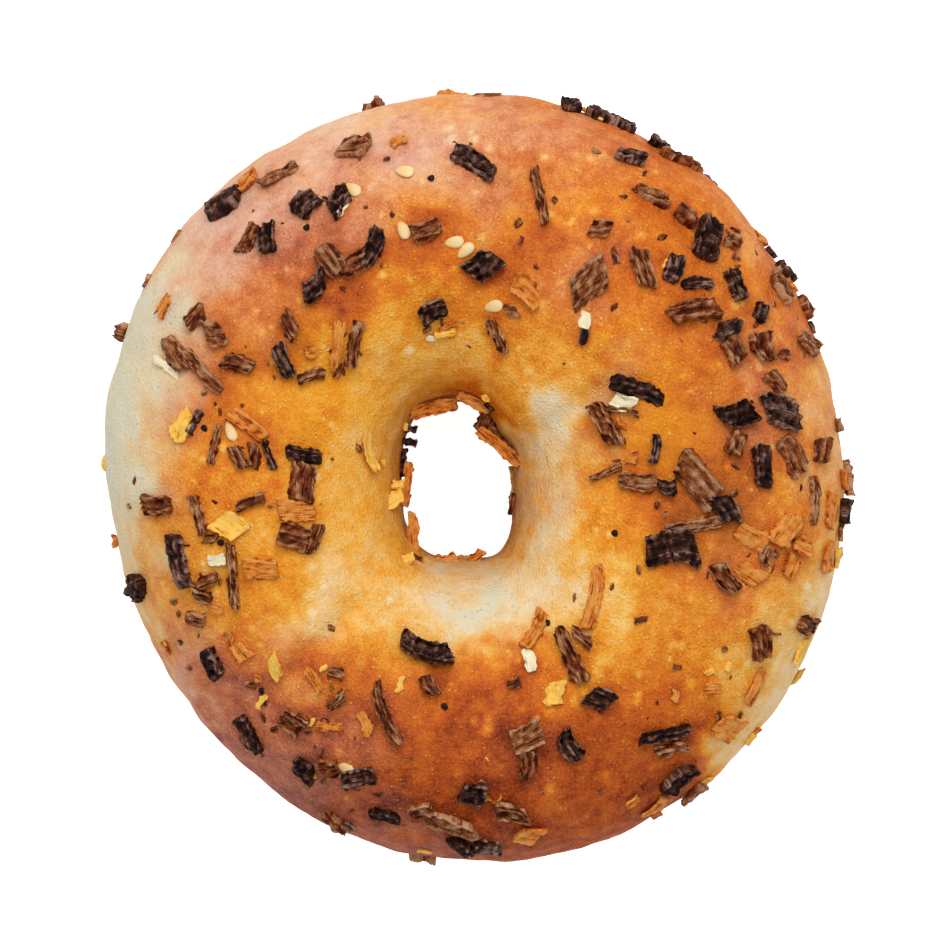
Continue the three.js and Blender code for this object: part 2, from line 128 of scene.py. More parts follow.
BROWN_FLAKES = [
    (-29, 45, 6.5, 2, 32), (-33.5, 35.4, 4.8, 2, 60), (-21.3, 32.6, 5, 3.4, -50),
    (-18, 31.8, 4.5, 3, 20), (-41.3, 23.8, 3.8, 2.4, 40), (-38.5, 21.3, 3.4, 3.2, 0),
    (-27.5, 23, 3.6, 2.4, -60), (-45, 36.4, 2.6, 0.8, 50), (-49.9, 30, 2, 0.9, 80),
    (-17.8, 49, 4.6, 3, -10), (10, 42, 9.4, 1.4, -80), (-7, 36.8, 4.6, 3, 15),
    (5.8, 25, 2, 1.8, 0), (3.9, 21.4, 5.6, 1.6, -72), (17.3, 29, 7.2, 4.6, 35),
    (21.2, 33, 2.6, 1, -75), (19, 37, 3.4, 2.4, 0), (2.2, 58, 4, 1, 0), (26.8, 41.9, 5, 2.2, -18),
    (31.8, 38.8, 4, 2.6, -35), (38.8, 35, 2.8, 2, 0), (39.3, 37, 2, 0.6, 10),
    (25.2, 31, 6, 2.8, -75), (32.9, 24.8, 8, 3, 10), (46, 28.4, 5.2, 2.8, -65),
    (50.2, 25.5, 3, 2, -60), (31.8, 48, 8.8, 1.3, -31), (-44.3, 18.3, 6, 3, -45),
    (-40.3, 15.6, 8, 2, -42), (-35.2, 17, 5.2, 2.4, -8), (-24.2, 15.2, 5, 1.4, 15),
    (-18, 20, 6.5, 2.4, 75), (-20.2, 16, 2.5, 1.2, 60), (-38.5, 4.8, 6.5, 1.2, 70),
    (-35, 2.8, 3.6, 2.2, -70), (-32.7, 3, 3.6, 1.8, 80), (-25.8, -1, 5.6, 3.6, 80),
    (-27, -8.9, 4.8, 3.8, -15), (-23.9, -9.2, 4.6, 2, 75), (-47, -4.1, 5.6, 3, 5),
    (-40.8, -5.7, 6.4, 1.6, -78), (-39.3, -9.2, 2, 1.4, 0), (-33.3, -3.8, 5, 1.6, 22),
    (-35.8, -14.6, 9.6, 1.6, -85), (-39.5, -15.3, 3, 1.8, 20), (-40.3, -17.5, 3.8, 2, -20),
    (22.5, 10, 5.4, 1, -10), (20.2, 8, 7.4, 2.6, -60), (39.2, 5, 3.8, 2.8, 70),
    (45, 14.2, 4, 2, -40), (47.6, 3.3, 6.4, 3.4, -55), (52, 4, 4, 2.6, 60),
    (55.8, 8, 2.4, 1.8, 80), (20, 0.6, 5.5, 1, 20), (24.8, -0.8, 6, 2.6, -5),
    (33.6, -0.2, 8.6, 4.8, -52), (33, -7.3, 9.5, 2, 12), (50.9, -3.6, 7.8, 1.6, -80),
    (56.5, -8.5, 3, 0.8, 80), (43.5, -11.8, 2.6, 2, 60), (37.5, -15, 5.2, 2.8, -50),
    (38.8, 19, 4.2, 3, -60), (43, 19.3, 4.6, 3, -65), (46.5, 18.3, 2, 1.8, 0),
    (50, 20, 4.6, 3.4, -20), (-41.2, -21.2, 3.4, 2, 0), (-33.2, -31.2, 1.8, 1, 0),
    (-26.9, -36.5, 4.4, 3.6, -20), (-34.3, -40, 2.5, 0.6, -62), (-22.7, -41.9, 3, 0.8, 70),
    (-21.4, -43.3, 3.4, 2.4, 0), (-20.6, -51.5, 4.4, 1.8, -25), (-20.8, -54, 2.4, 1.6, 50),
    (6.2, -30.9, 2.2, 1.4, 25), (14.6, -26.6, 9, 2.6, -65), (16.4, -24, 4, 1.8, -35),
    (-13.2, -35.3, 9, 2, -68), (-6.5, -31.3, 3, 2.4, -60), (8, -38.8, 5.4, 3.6, 30),
    (8.1, -43, 4.6, 2.3, 82), (1.3, -45.9, 1.6, 1, 0), (5.9, -50, 5, 3, -20),
    (-3.5, -51.7, 8, 3, -15), (-7.6, -49.7, 4, 2.4, 20), (-20.5, -29.2, 3, 1.6, -10),
    (-20.4, -33.3, 4, 1.4, 32), (25.1, -21.2, 2.4, 0.8, 10), (42.8, -24.5, 5, 3.2, -70),
    (45.5, -23.6, 2, 0.4, -10), (50, -22.1, 4.8, 2.6, -20), (29.5, -40.5, 5.2, 1.8, 5),
    (32.9, -47.6, 5, 2, 55),
]
AMBER_FLAKES = [
    (-33.8, 44.3, 3.6, 2.8, 60), (-46.2, 25.6, 3.2, 2.2, 60), (-11.2, 50.3, 2.6, 1.6, 20),
    (8.2, 28, 5.2, 3.4, -35), (-3.8, 22.8, 3, 0.8, 35), (48.8, 29.4, 2.6, 1.4, -60),
    (44.3, 36, 2, 1.2, -40), (-20.5, 19.5, 7, 2, 80), (-24.3, 18.8, 2.4, 1.8, 0),
    (-33.8, 7.8, 6.4, 2.4, -33), (-26.6, -5, 5.6, 3.2, 0), (-31.6, -13.6, 5.6, 3, -8),
    (-38.5, -19.5, 3, 1.6, -15), (22.3, 8, 2, 1.2, -30), (23.8, 2.5, 1.8, 1.2, 0),
    (46.8, -7.8, 6.4, 3.4, 40), (41.5, -9, 5.2, 3, -25), (53.6, -5, 5.6, 2.8, 75),
    (56.2, -0.5, 3.5, 1.6, -60), (49.3, -10.3, 3.4, 2.4, -20), (53.2, -12, 5, 2.6, 70),
    (47.3, -13.3, 3.6, 2.2, 60), (41.5, -14.5, 4.6, 3, -30), (-36.2, -24.4, 1.8, 1, 60),
    (-34.5, -26.1, 3.2, 2.2, -40), (-32.1, -30.1, 1.2, 0.9, 0), (-23.7, -30.3, 4, 1.6, -50),
    (-46, -25.7, 2.4, 1.6, -70), (-24.2, -44.9, 1.6, 1, 40), (9.4, -23, 7, 2, 65),
    (18.4, -17.8, 9.5, 2.2, 75), (-16.1, -36.8, 3.6, 1.8, -65), (9.4, -35.9, 1.6, 0.8, 40),
    (2.1, -48, 1.2, 0.8, 0), (3.7, -48.1, 2.4, 0.4, 45), (8.4, -53.5, 3.6, 3, -20),
    (-21.4, -37.3, 5, 1.1, 0), (42.3, -31.5, 6.2, 2, 65), (35.6, -31.6, 2.6, 2, 0),
    (30.3, -32.8, 1.8, 1.2, 80), (38.1, -37.5, 4.8, 4, -30), (27.5, -49.6, 5, 2.4, 30),
    (23.9, -48.7, 2.6, 1.2, 35), (43.5, -38.7, 1, 0.8, 0), (28.1, -51.6, 2, 0.8, 20),
]
PALE_FLAKES = [
    (-4.2, 21.6, 3.4, 1.2, 10), (28.8, 31.8, 1.8, 0.9, 60), (-43.3, 7.8, 5.4, 3, 50),
    (-36.2, -7.2, 4.4, 3.8, -30), (56.3, -12.5, 3.5, 2, 50), (-15.8, 3.8, 6.4, 2.2, -65),
    (-13.6, 2, 1.2, 0.7, -60), (-29.6, -28.3, 3.4, 2, -70), (-31.6, -33.6, 2.5, 1, 50),
    (-22.4, -28.7, 1.8, 0.5, 20), (-24.1, -36.7, 1.2, 0.8, 60), (-10.9, -30.9, 2.6, 0.9, 60),
    (2.1, -42.2, 0.9, 0.3, -55), (-7.3, -56.3, 2.4, 0.7, -10), (49.3, -26, 4.4, 2.2, 60),
    (35.3, -29.1, 1.6, 1, 20), (38.1, -28.3, 1.4, 1, 70), (35.7, -47.2, 3.4, 1.4, 45),
    (42.1, -39.7, 2.6, 1.2, 45), (12.3, -32.2, 4, 2.6, 75),
]
WHITE_FLAKES = [
    (-45.9, 16.5, 5.6, 1.3, -29), (16.8, 23.4, 2.6, 1.6, 80), (22.6, 11.3, 3.4, 2.4, -20),
    (-38.2, -12.4, 2.9, 1.6, 8), (8.5, -27.5, 3.8, 1.8, -80), (-6, 21, 1.8, 0.8, 0),
    (-19.6, 39.9, 2.8, 1, 52),
]
# Flakes that stick out of the hole's wall, by piece: x, y, height above the foot, length, width, turn
HOLE_FLAKES = {
    "char_flakes": [
        (2.5, 10.5, 23, 1.9, 1.0, -52), (-9.5, 7.2, 18.4, 2.2, 1.0, 6),
        (-9.6, 5.3, 18, 2.4, 1.1, -10), (-10.6, 2.2, 17, 4.6, 1.0, 82),
    ],
    "brown_flakes": [
        # The chip at (4.2, 5.9) is a dark filler put where the wall behind the amber strip lies in shade:
        # painted shade
        (1.9, 8.6, 18.2, 3.4, 2.7, 75), (4.2, 5.9, 18.6, 5.4, 2.4, -44),
        (5.9, -4, 18, 3.6, 1.2, 82), (-8.4, -12.2, 22.6, 1.6, 1.0, -20),
    ],
    "amber_flakes": [
        (4.0, 4.5, 20.2, 8.8, 1.9, -40), (-5.9, 10.3, 19.8, 7.6, 2.0, 12),
        (0.2, 11.2, 22, 6.0, 1.6, -28), (-10, -1, 18, 7.2, 1.3, 84), (-9.1, -8.7, 20.5, 7.2, 1.6, 88),
        (-4, -12.5, 18.2, 3.2, 1.7, 3), (0.5, -12, 17.5, 2.6, 1.5, 38),
    ],
    "pale_flakes": [
        (-11.8, -3.2, 23.6, 3.2, 2.2, 35), (-11.3, -1.1, 22, 2.2, 1.2, 12),
        (-9.9, -12.3, 25.3, 2.6, 1.3, 15), (-4.8, 11.9, 18.2, 2.6, 0.7, 14),
        (2, 11.9, 24.6, 1.4, 0.9, 10), (-10.3, 7.7, 20.2, 1.2, 0.6, 70),
    ],
}
# Sesame seeds: x, y, turn. Poppy seeds: x, y.
SESAME_SEEDS = [
    (-18, 43, -35), (-10.2, 45.7, -15), (-10.4, 36.9, -60), (-2.8, 35.1, 5), (-1.1, 33.8, 40),
    (3.1, 25.6, 15), (19.5, 55.7, 90), (-36.2, 6.8, -75), (-18.9, -43.5, -3),
]
POPPY_SEEDS = [
    (-24.9, 37.3), (-23.2, 32.9), (-6.3, 44.7), (-40.2, 7.3), (-37.7, -9.8), (21.2, -8.4),
    (-31.7, -32), (11.1, -21.9), (-4.3, -34.3),
]

# Flakes that the top view hides, drawn in the solid's own order so that they lie where its own do
SIDE_FLAKE_COUNT = 20
SIDE_FLAKE_ANGLES = (-0.75, 0.1)
WALL_FLAKE_COUNT = 5
WALL_FLAKE_ANGLES = (math.pi + 0.1, math.pi + 0.6)
SPREAD_FLAKE_LENGTHS = (3.2, 5.6)
SPREAD_FLAKE_SLIMNESS = (0.4, 0.7)
GOLDEN_TURN = math.pi * (3.0 - math.sqrt(5.0))
RANDOM_SEED = 911
DRAW_MULTIPLIER = 16807
DRAW_MODULUS = 2147483647

# How steeply flakes on the rim climb, how often that sways as a flake's heading turns, and how soon
# it fades up the section
RIM_CLIMB = 0.9
RIM_CLIMB_TURNS = 2.5
RIM_CLIMB_POWER = 8

# Crumbs of flake: seed, spread round a flake, lengths, slimness, nearest and farthest from the middle
CRUMB_SEED = 81
CRUMB_SPREAD = 3.2
CRUMB_LENGTHS = (0.45, 1.5)
CRUMB_SLIMNESS = (0.35, 0.9)
CRUMB_RADII = (17.0, 55.0)

# How flakes differ, as even draws between two values: the straight cuts of the sides as their
# farthest width and slope, slant of the ends and bow of the sides as shares of the width,
# thickness, number of folds, depth of the folds
CUT_WIDTHS = (0.5, 1.0)
CUT_SLOPES = (1.2, 5.0)
END_SLANTS = (-0.22, 0.22)
SIDE_BOWS = (-0.2, 0.2)
THICKNESS_SPREAD = (0.7, 1.35)
FOLD_COUNTS = (1.6, 4.4)
FOLD_DEPTH_SPREAD = (0.5, 1.2)
# Slopes of the middle, drawn likewise: cupped, arched, tilted along, leaning across, twisted
CURLS = ((-0.25, 0.55), (-0.08, 0.14), (-0.1, 0.1), (-0.22, 0.22), (-0.3, 0.3))
# How sharply the cup turns up at the sides, and what is taken off the cup's and the arch's rise
CUP_POWER = 2.5
CUP_LEVEL = 0.3
ARCH_LEVEL = 0.4
# Roundness of a chip's edge seen from its end, 1 for a plain oval
SIDE_POWER = 0.6
# Half the share of a flake's length that its loops span, the rest being its ragged ends
CHIP_REACH = 0.47
# Width from which a flake is at its full size, and the least shares of it for a narrow one
FULL_SIZE_WIDTH = 3.0
LEAST_THICKNESS = 0.45
LEAST_SEAT = 0.4
LEAST_FOLDS = 0.3
# Height of the folds' ridges, what the coarse and the fine crinkles add to it, how far the folds
# wander, and how the height is painted as light on the ridges and shade between them
RIDGE_HEIGHT = 0.6
RIDGE_CRINKLES = (0.2, 0.25)
FOLD_WANDER = 0.8
FOLD_PAINTED_LIGHT_CONTRAST = 0.6
# Wavelengths of the crinkles, how far the fine and the coarse ones push along and across, and how
# closely that keeps to the sides and to the ends
CHIP_WAVES = (1.8, 0.8, 0.6)
RAGGED_FINE = (0.09, 0.10)
RAGGED_COARSE = (0.06, 0.07)
RAGGED_POWERS = (4, 8)
EDGE_POWERS = (5, 9)
# Step between neighbouring chips in the waves' and the grain's space, so that no two are alike, and
# how much the waves are drawn out along a chip
CHIP_NOISE_STEP = 7.3
CHIP_NOISE_SQUEEZE = 0.7
# How much broader a seed is at one end than at the other
SEED_TAPER = 0.26
# Least height of a chip above the plane that the foot lies on
CHIP_CLEARANCE = 0.05

# Browning of the top, with a few spots of painted light and shade: x, y, reach along and across, turn in
# degrees, level from 0 pale to 1 dark
BAKE_SPOTS = [
    # (4, -19) is a painted highlight on the slope south of the hole, which faces the lamp, (-2, 12.4)
    # painted shade on the hole's north wall, and the levels of 0 on the lower right rim are painted light
    # in place of a fill lamp
    (4, -19, 8, 4, 5, 0.03), (12, -13, 5, 5, 0, 0.10), (17, -4, 4, 6, 0, 0.33),
    (13, 8.5, 6, 4.5, 50, 0.03), (8, 15, 4, 4, 0, 0.33), (-3, 17, 7, 4, 0, 0.29),
    (-12, 14, 5, 5, 30, 0.2), (-17, 3, 4, 7, 0, 0.22), (-18, -8, 6, 5, 0, 0.18),
    (-12, -12, 4, 3, 0, 0.3), (-11, -20, 6, 4, -30, 0.14), (-4, -24, 6, 3, 0, 0.15),
    (19, 15, 5, 5, 0, 0.36), (12, 22, 5, 6, 0, 0.40), (4, 22, 3, 6, 0, 0.44),
    (-5, 26, 6, 5, 0, 0.44), (-14, 22, 4, 6, 0, 0.28), (-10, 33, 8, 4, 10, 0.67),
    (-20, 31, 6, 5, 20, 0.80), (-30, 25, 6, 6, 40, 0.57), (-20, 14, 5, 4, 0, 0.30),
    (-29, 10, 6, 5, 0, 0.46), (-33, 1, 6, 5, 0, 0.48), (-30, -10, 6, 5, 0, 0.3),
    (-24, -18, 7, 3, 45, 0.13), (-30, -22, 5, 3, 45, 0.62), (-16, -28, 7, 4, -20, 0.48),
    (-6, -33, 9, 4, 0, 0.66), (6, -28, 5, 4, 0, 0.55), (12, -27, 3, 6, 20, 0.42),
    (21, -21, 4, 8, -20, 0.1), (22, -9, 5, 5, 0, 0.48), (29, -17, 5, 5, 0, 0.4),
    (24, 3, 5, 6, 0, 0.52), (30, 9, 6, 5, 0, 0.46), (24, 19, 6, 6, 0, 0.52),
    (14, 27, 6, 5, 0, 0.46), (5, 32, 6, 5, 0, 0.74), (33, 14, 6, 5, 0, 0.54),
    (36, -3, 6, 8, 0, 0.84), (35, -13, 6, 6, 0, 0.58), (27, -25, 6, 4, 0, 0.54),
    (17, -33, 6, 5, 0, 0.6), (5, -36, 8, 5, 0, 0.9), (-10, -39, 10, 5, 0, 0.72),
    (-22, -34, 6, 5, 0, 0.66), (-32, -28, 6, 5, 0, 0.44), (-38, -14, 5, 6, 0, 0.26),
    (-43, 1, 5, 8, 0, 0.44), (-38, 13, 6, 6, 0, 0.62), (-33, 27, 6, 6, 0, 0.62),
    (-22, 39, 7, 5, 0, 0.54), (-8, 40, 7, 4, 0, 0.44), (2, 42, 6, 4, 0, 0.46),
    (12, 39, 6, 6, 0, 0.46), (22, 36, 7, 6, 0, 0.58), (32, 27, 7, 7, 0, 0.56),
    (39, 15, 6, 7, 0, 0.53), (43, -1, 6, 8, 0, 0.56), (41, -15, 6, 6, 0, 0.56),
    (33, -27, 6, 5, 0, 0.5), (21, -38, 8, 6, 30, 0.72), (4, -46, 12, 6, 0, 0.8),
    (-20, -42, 9, 6, -30, 0.68), (-37, -28, 5, 6, 0, 0.62), (-47, -14, 4, 6, 0, 0.36),
    (-48, 2, 3, 8, 0, 0.27), (-44, 17, 5, 6, 0, 0.32), (-38, 29, 6, 6, 0, 0.31),
    (-24, 43, 8, 5, 20, 0.38), (-9, 47, 8, 5, 0, 0.30), (8, 48, 7, 5, 0, 0.50),
    (24, 43, 8, 5, -30, 0.57), (38, 31, 8, 5, -45, 0.54), (47, 14, 5, 8, 0, 0.43),
    (50, -4, 4, 8, 0, 0.3), (47, -16, 5, 6, 0, 0.42), (40, -30, 6, 5, 0, 0.3),
    (27, -45, 9, 5, 35, 0.76), (6, -54, 12, 4, 0, 0.82), (-14, -51, 10, 5, -15, 0.78),
    (-32, -40, 6, 6, 0, 0.66), (-44, -30, 4, 6, 0, 0.40), (-52, -14, 3, 8, 0, 0.14),
    (-53, 6, 3, 12, 0, 0.05), (-48, 24, 4, 6, 0, 0.14), (-38, 38, 6, 5, 45, 0.20),
    (-22, 50, 8, 4, 20, 0.20), (-6, 54, 7, 4, 0, 0.34), (10, 54, 8, 4, 0, 0.50),
    (27, 48, 8, 4, -30, 0.52), (42, 36, 6, 5, -45, 0.44), (52, 18, 3, 8, 0, 0.32),
    (55, 0, 3, 8, 0, 0.24), (53, -15, 4, 6, 0, 0.0), (48, -26, 5, 6, 0, 0.0),
    (42, -37, 6, 5, 45, 0.0), (-2, 12.4, 7, 1.4, 0, 0.7), (-24, -2, 2.5, 6, 0, 0.2),
    (-27, -33.5, 3, 3, 0, 0.75),
]
# Painted sheen of the soft light, which turns the browned skin from orange to mauve: x, y, reach along
# and across, turn, amount
PAINTED_SHEEN_SPOTS = [
    (-37, 37, 16, 11, 45, 1.0), (-14, 50, 17, 8, 8, 0.95), (10, 52, 14, 5, -8, 0.5),
    (2, 43, 8, 4, 0, 0.45), (-26, 40, 9, 7, 0, 0.8), (-30, -44, 16, 9, -40, 1.0),
    (-8, -55, 14, 4, -5, 0.6), (-42, -32, 6, 10, 30, 0.8), (-20, -38, 8, 6, -20, 0.4),
    (48, 12, 6, 8, 0, 0.2), (54, 6, 3, 16, 0, 0.35), (46, 33, 5, 12, 40, 0.25),
    (17, 31, 7, 5, 35, 0.35), (-42, 20, 3, 6, 0, 0.2), (7, -40, 7, 5, 0, 0.15),
    (42, 12, 6, 12, 0, 0.35), (40, -13, 8, 8, 0, 0.25),
]
# Unbaked skin, where the rim lay against a neighbour and in dry patches round the hole, with two spots of
# painted light: x, y, reach along and across, turn, amount
RAW_SPOTS = [
    # The spot at (1, -18.5) is a painted highlight on the slope south of the hole, and the one at (54,
    # -24) painted light on the lower right rim
    (-56.5, 6, 7.5, 20, 0, 1.0), (-50, 24, 6, 10, -25, 0.8), (-54, -12, 4, 8, 0, 0.35),
    (14, 9.5, 9, 2.0, 32, 0.5), (15, 5, 4, 4, 0, 0.3), (1, -18.5, 7, 4, 5, 1.0),
    (54, -24, 3, 12, -30, 0.25), (-47, 17, 5, 9, 0, 0.45), (11, -6, 3, 9, 0, 0.5),
    (-23, -20, 8, 3, 50, 0.25),
]
# How far from the hole's narrowest line its painted shade begins and is full, in half turns of the
# section
PAINTED_WALL_SHADE = (0.24, 0.04)
PAINTED_WALL_SHADE_POWER = 1.4
# Clear golden yellow: x, y, reach along and across, turn, amount
GOLD_SPOTS = [
    (-17, 6, 5, 10, 0, 0.8), (-22, 10, 9, 6, 0, 0.6), (-12, 17, 7, 5, 30, 0.6),
    (-27, -14, 9, 6, 0, 0.5), (29, 7, 8, 6, 0, 0.6), (38, -8, 8, 8, 0, 0.35),
    (-25, 20, 6, 5, 0, 0.4), (-18, -8, 6, 6, 0, 0.6), (24, -12, 6, 6, 0, 0.3),
    (-36, 8, 5, 5, 0, 0.2), (-12, -4, 3, 9, 0, 0.7), (-2, 13, 7, 3, 0, 0.6),
]
# Soft waves that bend the spots' edges, as amount and wavelength, their seeds along x and along y,
# and the share of the bend that the stains and painted shade round the flakes take
EDGE_BENDS = [(1.5, 9.0), (0.5, 3.0)]
EDGE_BEND_SEEDS = ((11, 12), (13, 14))
STAIN_AND_SHADE_BEND = 0.3
# Bake of the top away from every spot, and how little it weighs beside them
GROUND_LEVEL = 0.5
GROUND_WEIGHT = 0.02
# Bake of the underside, its waves as amount, wavelength and seed, and how much darker the foot is
UNDERSIDE_LEVEL = 0.36
UNDERSIDE_WAVES = (0.08, 12.0, 15)
FOOT_DARKENING = 0.16
FOOT_DARKENING_HEIGHT = 1.5
# Heights where the underside's bake begins and is full
UNDERSIDE_HEIGHTS = (12.0, 3.0)
# Slight waves of the bake all over: amount, wavelength and seed
FINE_LEVEL_WAVES = (0.02, 4.0, 16)
# Stain and painted shade round a flake: its depth, how far it is set towards the middle of the ring,
# and its reach as a share of the flake's length and width with a margin on each
STAIN_AND_SHADE_DEPTH = 0.85
STAIN_AND_SHADE_OFFSET = 0.7
STAIN_AND_SHADE_SHARE = 0.62
STAIN_AND_SHADE_MARGINS = (0.5, 0.7)


def srgb(red, green, blue):
    """Linear colour of a screen colour from 0 to 255, as Blender's colour properties hold it."""
    shares = np.array((red, green, blue)) / 255.0
    linear = np.where(shares <= 0.04045, shares / 12.92, ((shares + 0.055) / 1.055) ** 2.4)
    return (*(float(value) for value in linear), 1.0)


def toned(colour, power, share=1.0):
    """A colour deepened by a power above 1, or made lighter and paler by one below 1, and then
    dimmed to a share of itself."""
    return (*(share * channel**power for channel in colour[:3]), 1.0)


def swell(swells, angle):
    """Sum of cosine lobes round the ring."""
    total = np.zeros_like(angle)
    for lobes, height, turn in swells:
        total += height * np.cos(lobes * (angle - math.radians(turn)))
    return total


def ring_ends(angle):
    """Plan points of the hole's outline, a superellipse with its bulges, and of the rim, a swelled
    circle."""
    heading = np.stack((np.cos(angle), np.sin(angle)), axis=-1)
    across = np.abs(heading[..., 0] / HOLE_HALF_WIDTH) ** HOLE_SQUARENESS
    along = np.abs(heading[..., 1] / HOLE_HALF_LENGTH) ** HOLE_SQUARENESS
    hole_radius = (across + along) ** (-1.0 / HOLE_SQUARENESS)
    for turn, half_width, share in HOLE_BULGES:
        fall = 2.0 * (np.cos(angle - math.radians(turn)) - 1.0) / math.radians(half_width) ** 2
        hole_radius = hole_radius * (1.0 - share * np.exp(fall))
    rim_radius = OUTER_RADIUS + swell(OUTLINE_SWELLS, angle)
    hole = np.array(HOLE_CENTRE) + hole_radius[..., None] * heading
    return hole, rim_radius[..., None] * heading


def crease_depth(x, y):
    """Sum of bell-shaped grooves along straight lines in plan."""
    total = np.zeros_like(x)
    for from_x, from_y, to_x, to_y, depth, half_width in CREASES:
        along_x, along_y = to_x - from_x, to_y - from_y
        share = ((x - from_x) * along_x + (y - from_y) * along_y) / (along_x**2 + along_y**2)
        share = np.clip(share, 0.0, 1.0)
        gap = np.hypot(x - from_x - share * along_x, y - from_y - share * along_y)
        total += depth * np.exp(-((gap / half_width) ** 2))
    return total


def crust_point(ring, section):
    """Point of the ring of dough, in mm: ring is the angle round the hole, and section the angle
    from the rim (0) over the crest (half pi) to the hole's wall (pi) and back under the foot. A
    section is two superellipse halves on a waist line, and the baking board cuts it off at z = 0."""
    ring, section = np.broadcast_arrays(ring, section)
    hole, rim = ring_ends(ring)
    is_top = np.sin(section) >= 0.0
    power = np.where(is_top, 2.0 / TOP_FULLNESS, 2.0 / UNDERSIDE_FULLNESS)
    outward = np.sign(np.cos(section)) * np.abs(np.cos(section)) ** power
    rise = np.abs(np.sin(section)) ** power
    share = (1.0 + outward) / 2.0
    plan = hole + (rim - hole) * share[..., None]
    waist = HOLE_WAIST_HEIGHT + (RIM_HEIGHT + swell(RIM_SWELLS, ring) - HOLE_WAIST_HEIGHT) * share
    crest = CREST_HEIGHT + swell(CREST_SWELLS, ring)
    relief = -crease_depth(plan[..., 0], plan[..., 1])
    for round_ring, round_section, height, phase in CRUST_WAVES:
        relief += height * np.sin(round_ring * ring + phase) * np.cos(round_section * section + phase)
    above = waist + (crest - waist + relief) * rise
    below = np.maximum(0.0, waist * (1.0 - UNDERSIDE_DEPTH * rise))
    return np.concatenate((plan, np.where(is_top, above, below)[..., None]), axis=-1)


def crust_frame(ring, section):
    """Tangents per radian along both angles and the outward normal, from neighbouring points."""
    step = 0.01
    along_ring = (crust_point(ring + step, section) - crust_point(ring - step, section)) / (2 * step)
    round_section = (crust_point(ring, section + step) - crust_point(ring, section - step)) / (2 * step)
    normal = np.cross(along_ring, round_section)
    normal /= np.linalg.norm(normal, axis=-1, keepdims=True)
    return along_ring, round_section, normal


def angles_above(x, y):
    """The two angles of the crust's top at points in plan: each round turns the section line by
    what it still misses the point by."""
    ring = np.arctan2(y, x)
    for _ in range(SEARCH_ROUNDS):
        hole, rim = ring_ends(ring)
        span = rim - hole
        square = (span**2).sum(axis=-1)
        share = ((x - hole[..., 0]) * span[..., 0] + (y - hole[..., 1]) * span[..., 1]) / square
        aside = span[..., 0] * (y - hole[..., 1]) - span[..., 1] * (x - hole[..., 0])
        ring = ring + aside / np.sqrt(square) / np.hypot(x, y)
    outward = np.clip(2.0 * share - 1.0, -STEEPEST_SHARE, STEEPEST_SHARE)
    return ring, np.arccos(np.sign(outward) * np.abs(outward) ** (TOP_FULLNESS / 2.0))


def soft_waves(points, wavelength, seed, count=24):
    """Smooth random field of about unit height: a sum of sine waves of drawn directions and of
    lengths about the one given, in mm."""
    draw = np.random.default_rng(seed)
    headings = draw.normal(size=(count, points.shape[-1]))
    headings /= np.linalg.norm(headings, axis=1, keepdims=True)
    rates = TURN / (wavelength * draw.uniform(0.7, 1.5, count))
    phases = draw.uniform(0.0, TURN, count)
    total = np.zeros(points.shape[:-1])
    for heading, rate, phase in zip(headings, rates, phases):
        total += np.sin(points @ heading * rate + phase)
    return total * math.sqrt(2.0 / count)


def spot_reach(x, y, spot_x, spot_y, along, across, turn):
    """Bell of an oval spot: 1 at its centre, 1/e at its reach along and across its turn."""
    cosine, sine = math.cos(math.radians(turn)), math.sin(math.radians(turn))
    forward = ((x - spot_x) * cosine + (y - spot_y) * sine) / along
    aside = ((y - spot_y) * cosine - (x - spot_x) * sine) / across
    return np.exp(-(forward**2 + aside**2))


def blended_level(x, y, spots, ground, ground_weight):
    """Mean of the spots' levels at each point, each weighed by its bell, over a faint ground."""
    weights = np.full_like(x, ground_weight)
    total = ground * weights
    for spot_x, spot_y, along, across, turn, level in spots:
        weight = spot_reach(x, y, spot_x, spot_y, along, across, turn)
        weights += weight
        total += weight * level
    return total / weights


def summed_amount(x, y, spots):
    """One minus the product of what each spot leaves bare, so overlapping spots never pass 1."""
    bare = np.ones_like(x)
    for spot_x, spot_y, along, across, turn, amount in spots:
        bare *= 1.0 - amount * spot_reach(x, y, spot_x, spot_y, along, across, turn)
    return 1.0 - bare


def put_mesh(name, points, faces, material, floats=(), vectors=()):
    """A finished piece in metres: its mesh, attributes, material, body and slot."""
    mesh = bpy.data.meshes.new(name)
    corners = faces.shape[1]
    mesh.vertices.add(len(points))
    mesh.vertices.foreach_set("co", (points * MM).astype(np.float32).ravel())
    mesh.loops.add(faces.size)
    mesh.loops.foreach_set("vertex_index", faces.astype(np.int32).ravel())
    mesh.polygons.add(len(faces))
    mesh.polygons.foreach_set("loop_start", np.arange(len(faces), dtype=np.int32) * corners)
    mesh.polygons.foreach_set("use_smooth", np.full(len(faces), True))
    for label, values in floats:
        attribute = mesh.attributes.new(label, "FLOAT", "POINT")
        attribute.data.foreach_set("value", values.astype(np.float32).ravel())
    for label, values in vectors:
        attribute = mesh.attributes.new(label, "FLOAT_VECTOR", "POINT")
        attribute.data.foreach_set("vector", values.astype(np.float32).ravel())
    mesh.update(calc_edges=True)
    mesh.validate()
    mesh.materials.append(material)
    piece = bpy.data.objects.new(name, mesh)
    bpy.context.scene.collection.objects.link(piece)
    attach(piece, "root")
    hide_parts("bagel")
    return piece


def ring_faces(rings, columns, closed_rings):
    """Quads of a grid that closes on itself along its columns, and along its rings if asked."""
    last = rings if closed_rings else rings - 1
    row = np.arange(last)[:, None]
    column = np.arange(columns)[None, :]
    next_row = (row + 1) % rings
    next_column = (column + 1) % columns
    corners = (
        row * columns + column, next_row * columns + column,
        next_row * columns + next_column, row * columns + next_column,
    )
    return np.stack(np.broadcast_arrays(*corners), axis=-1).reshape(-1, 4)


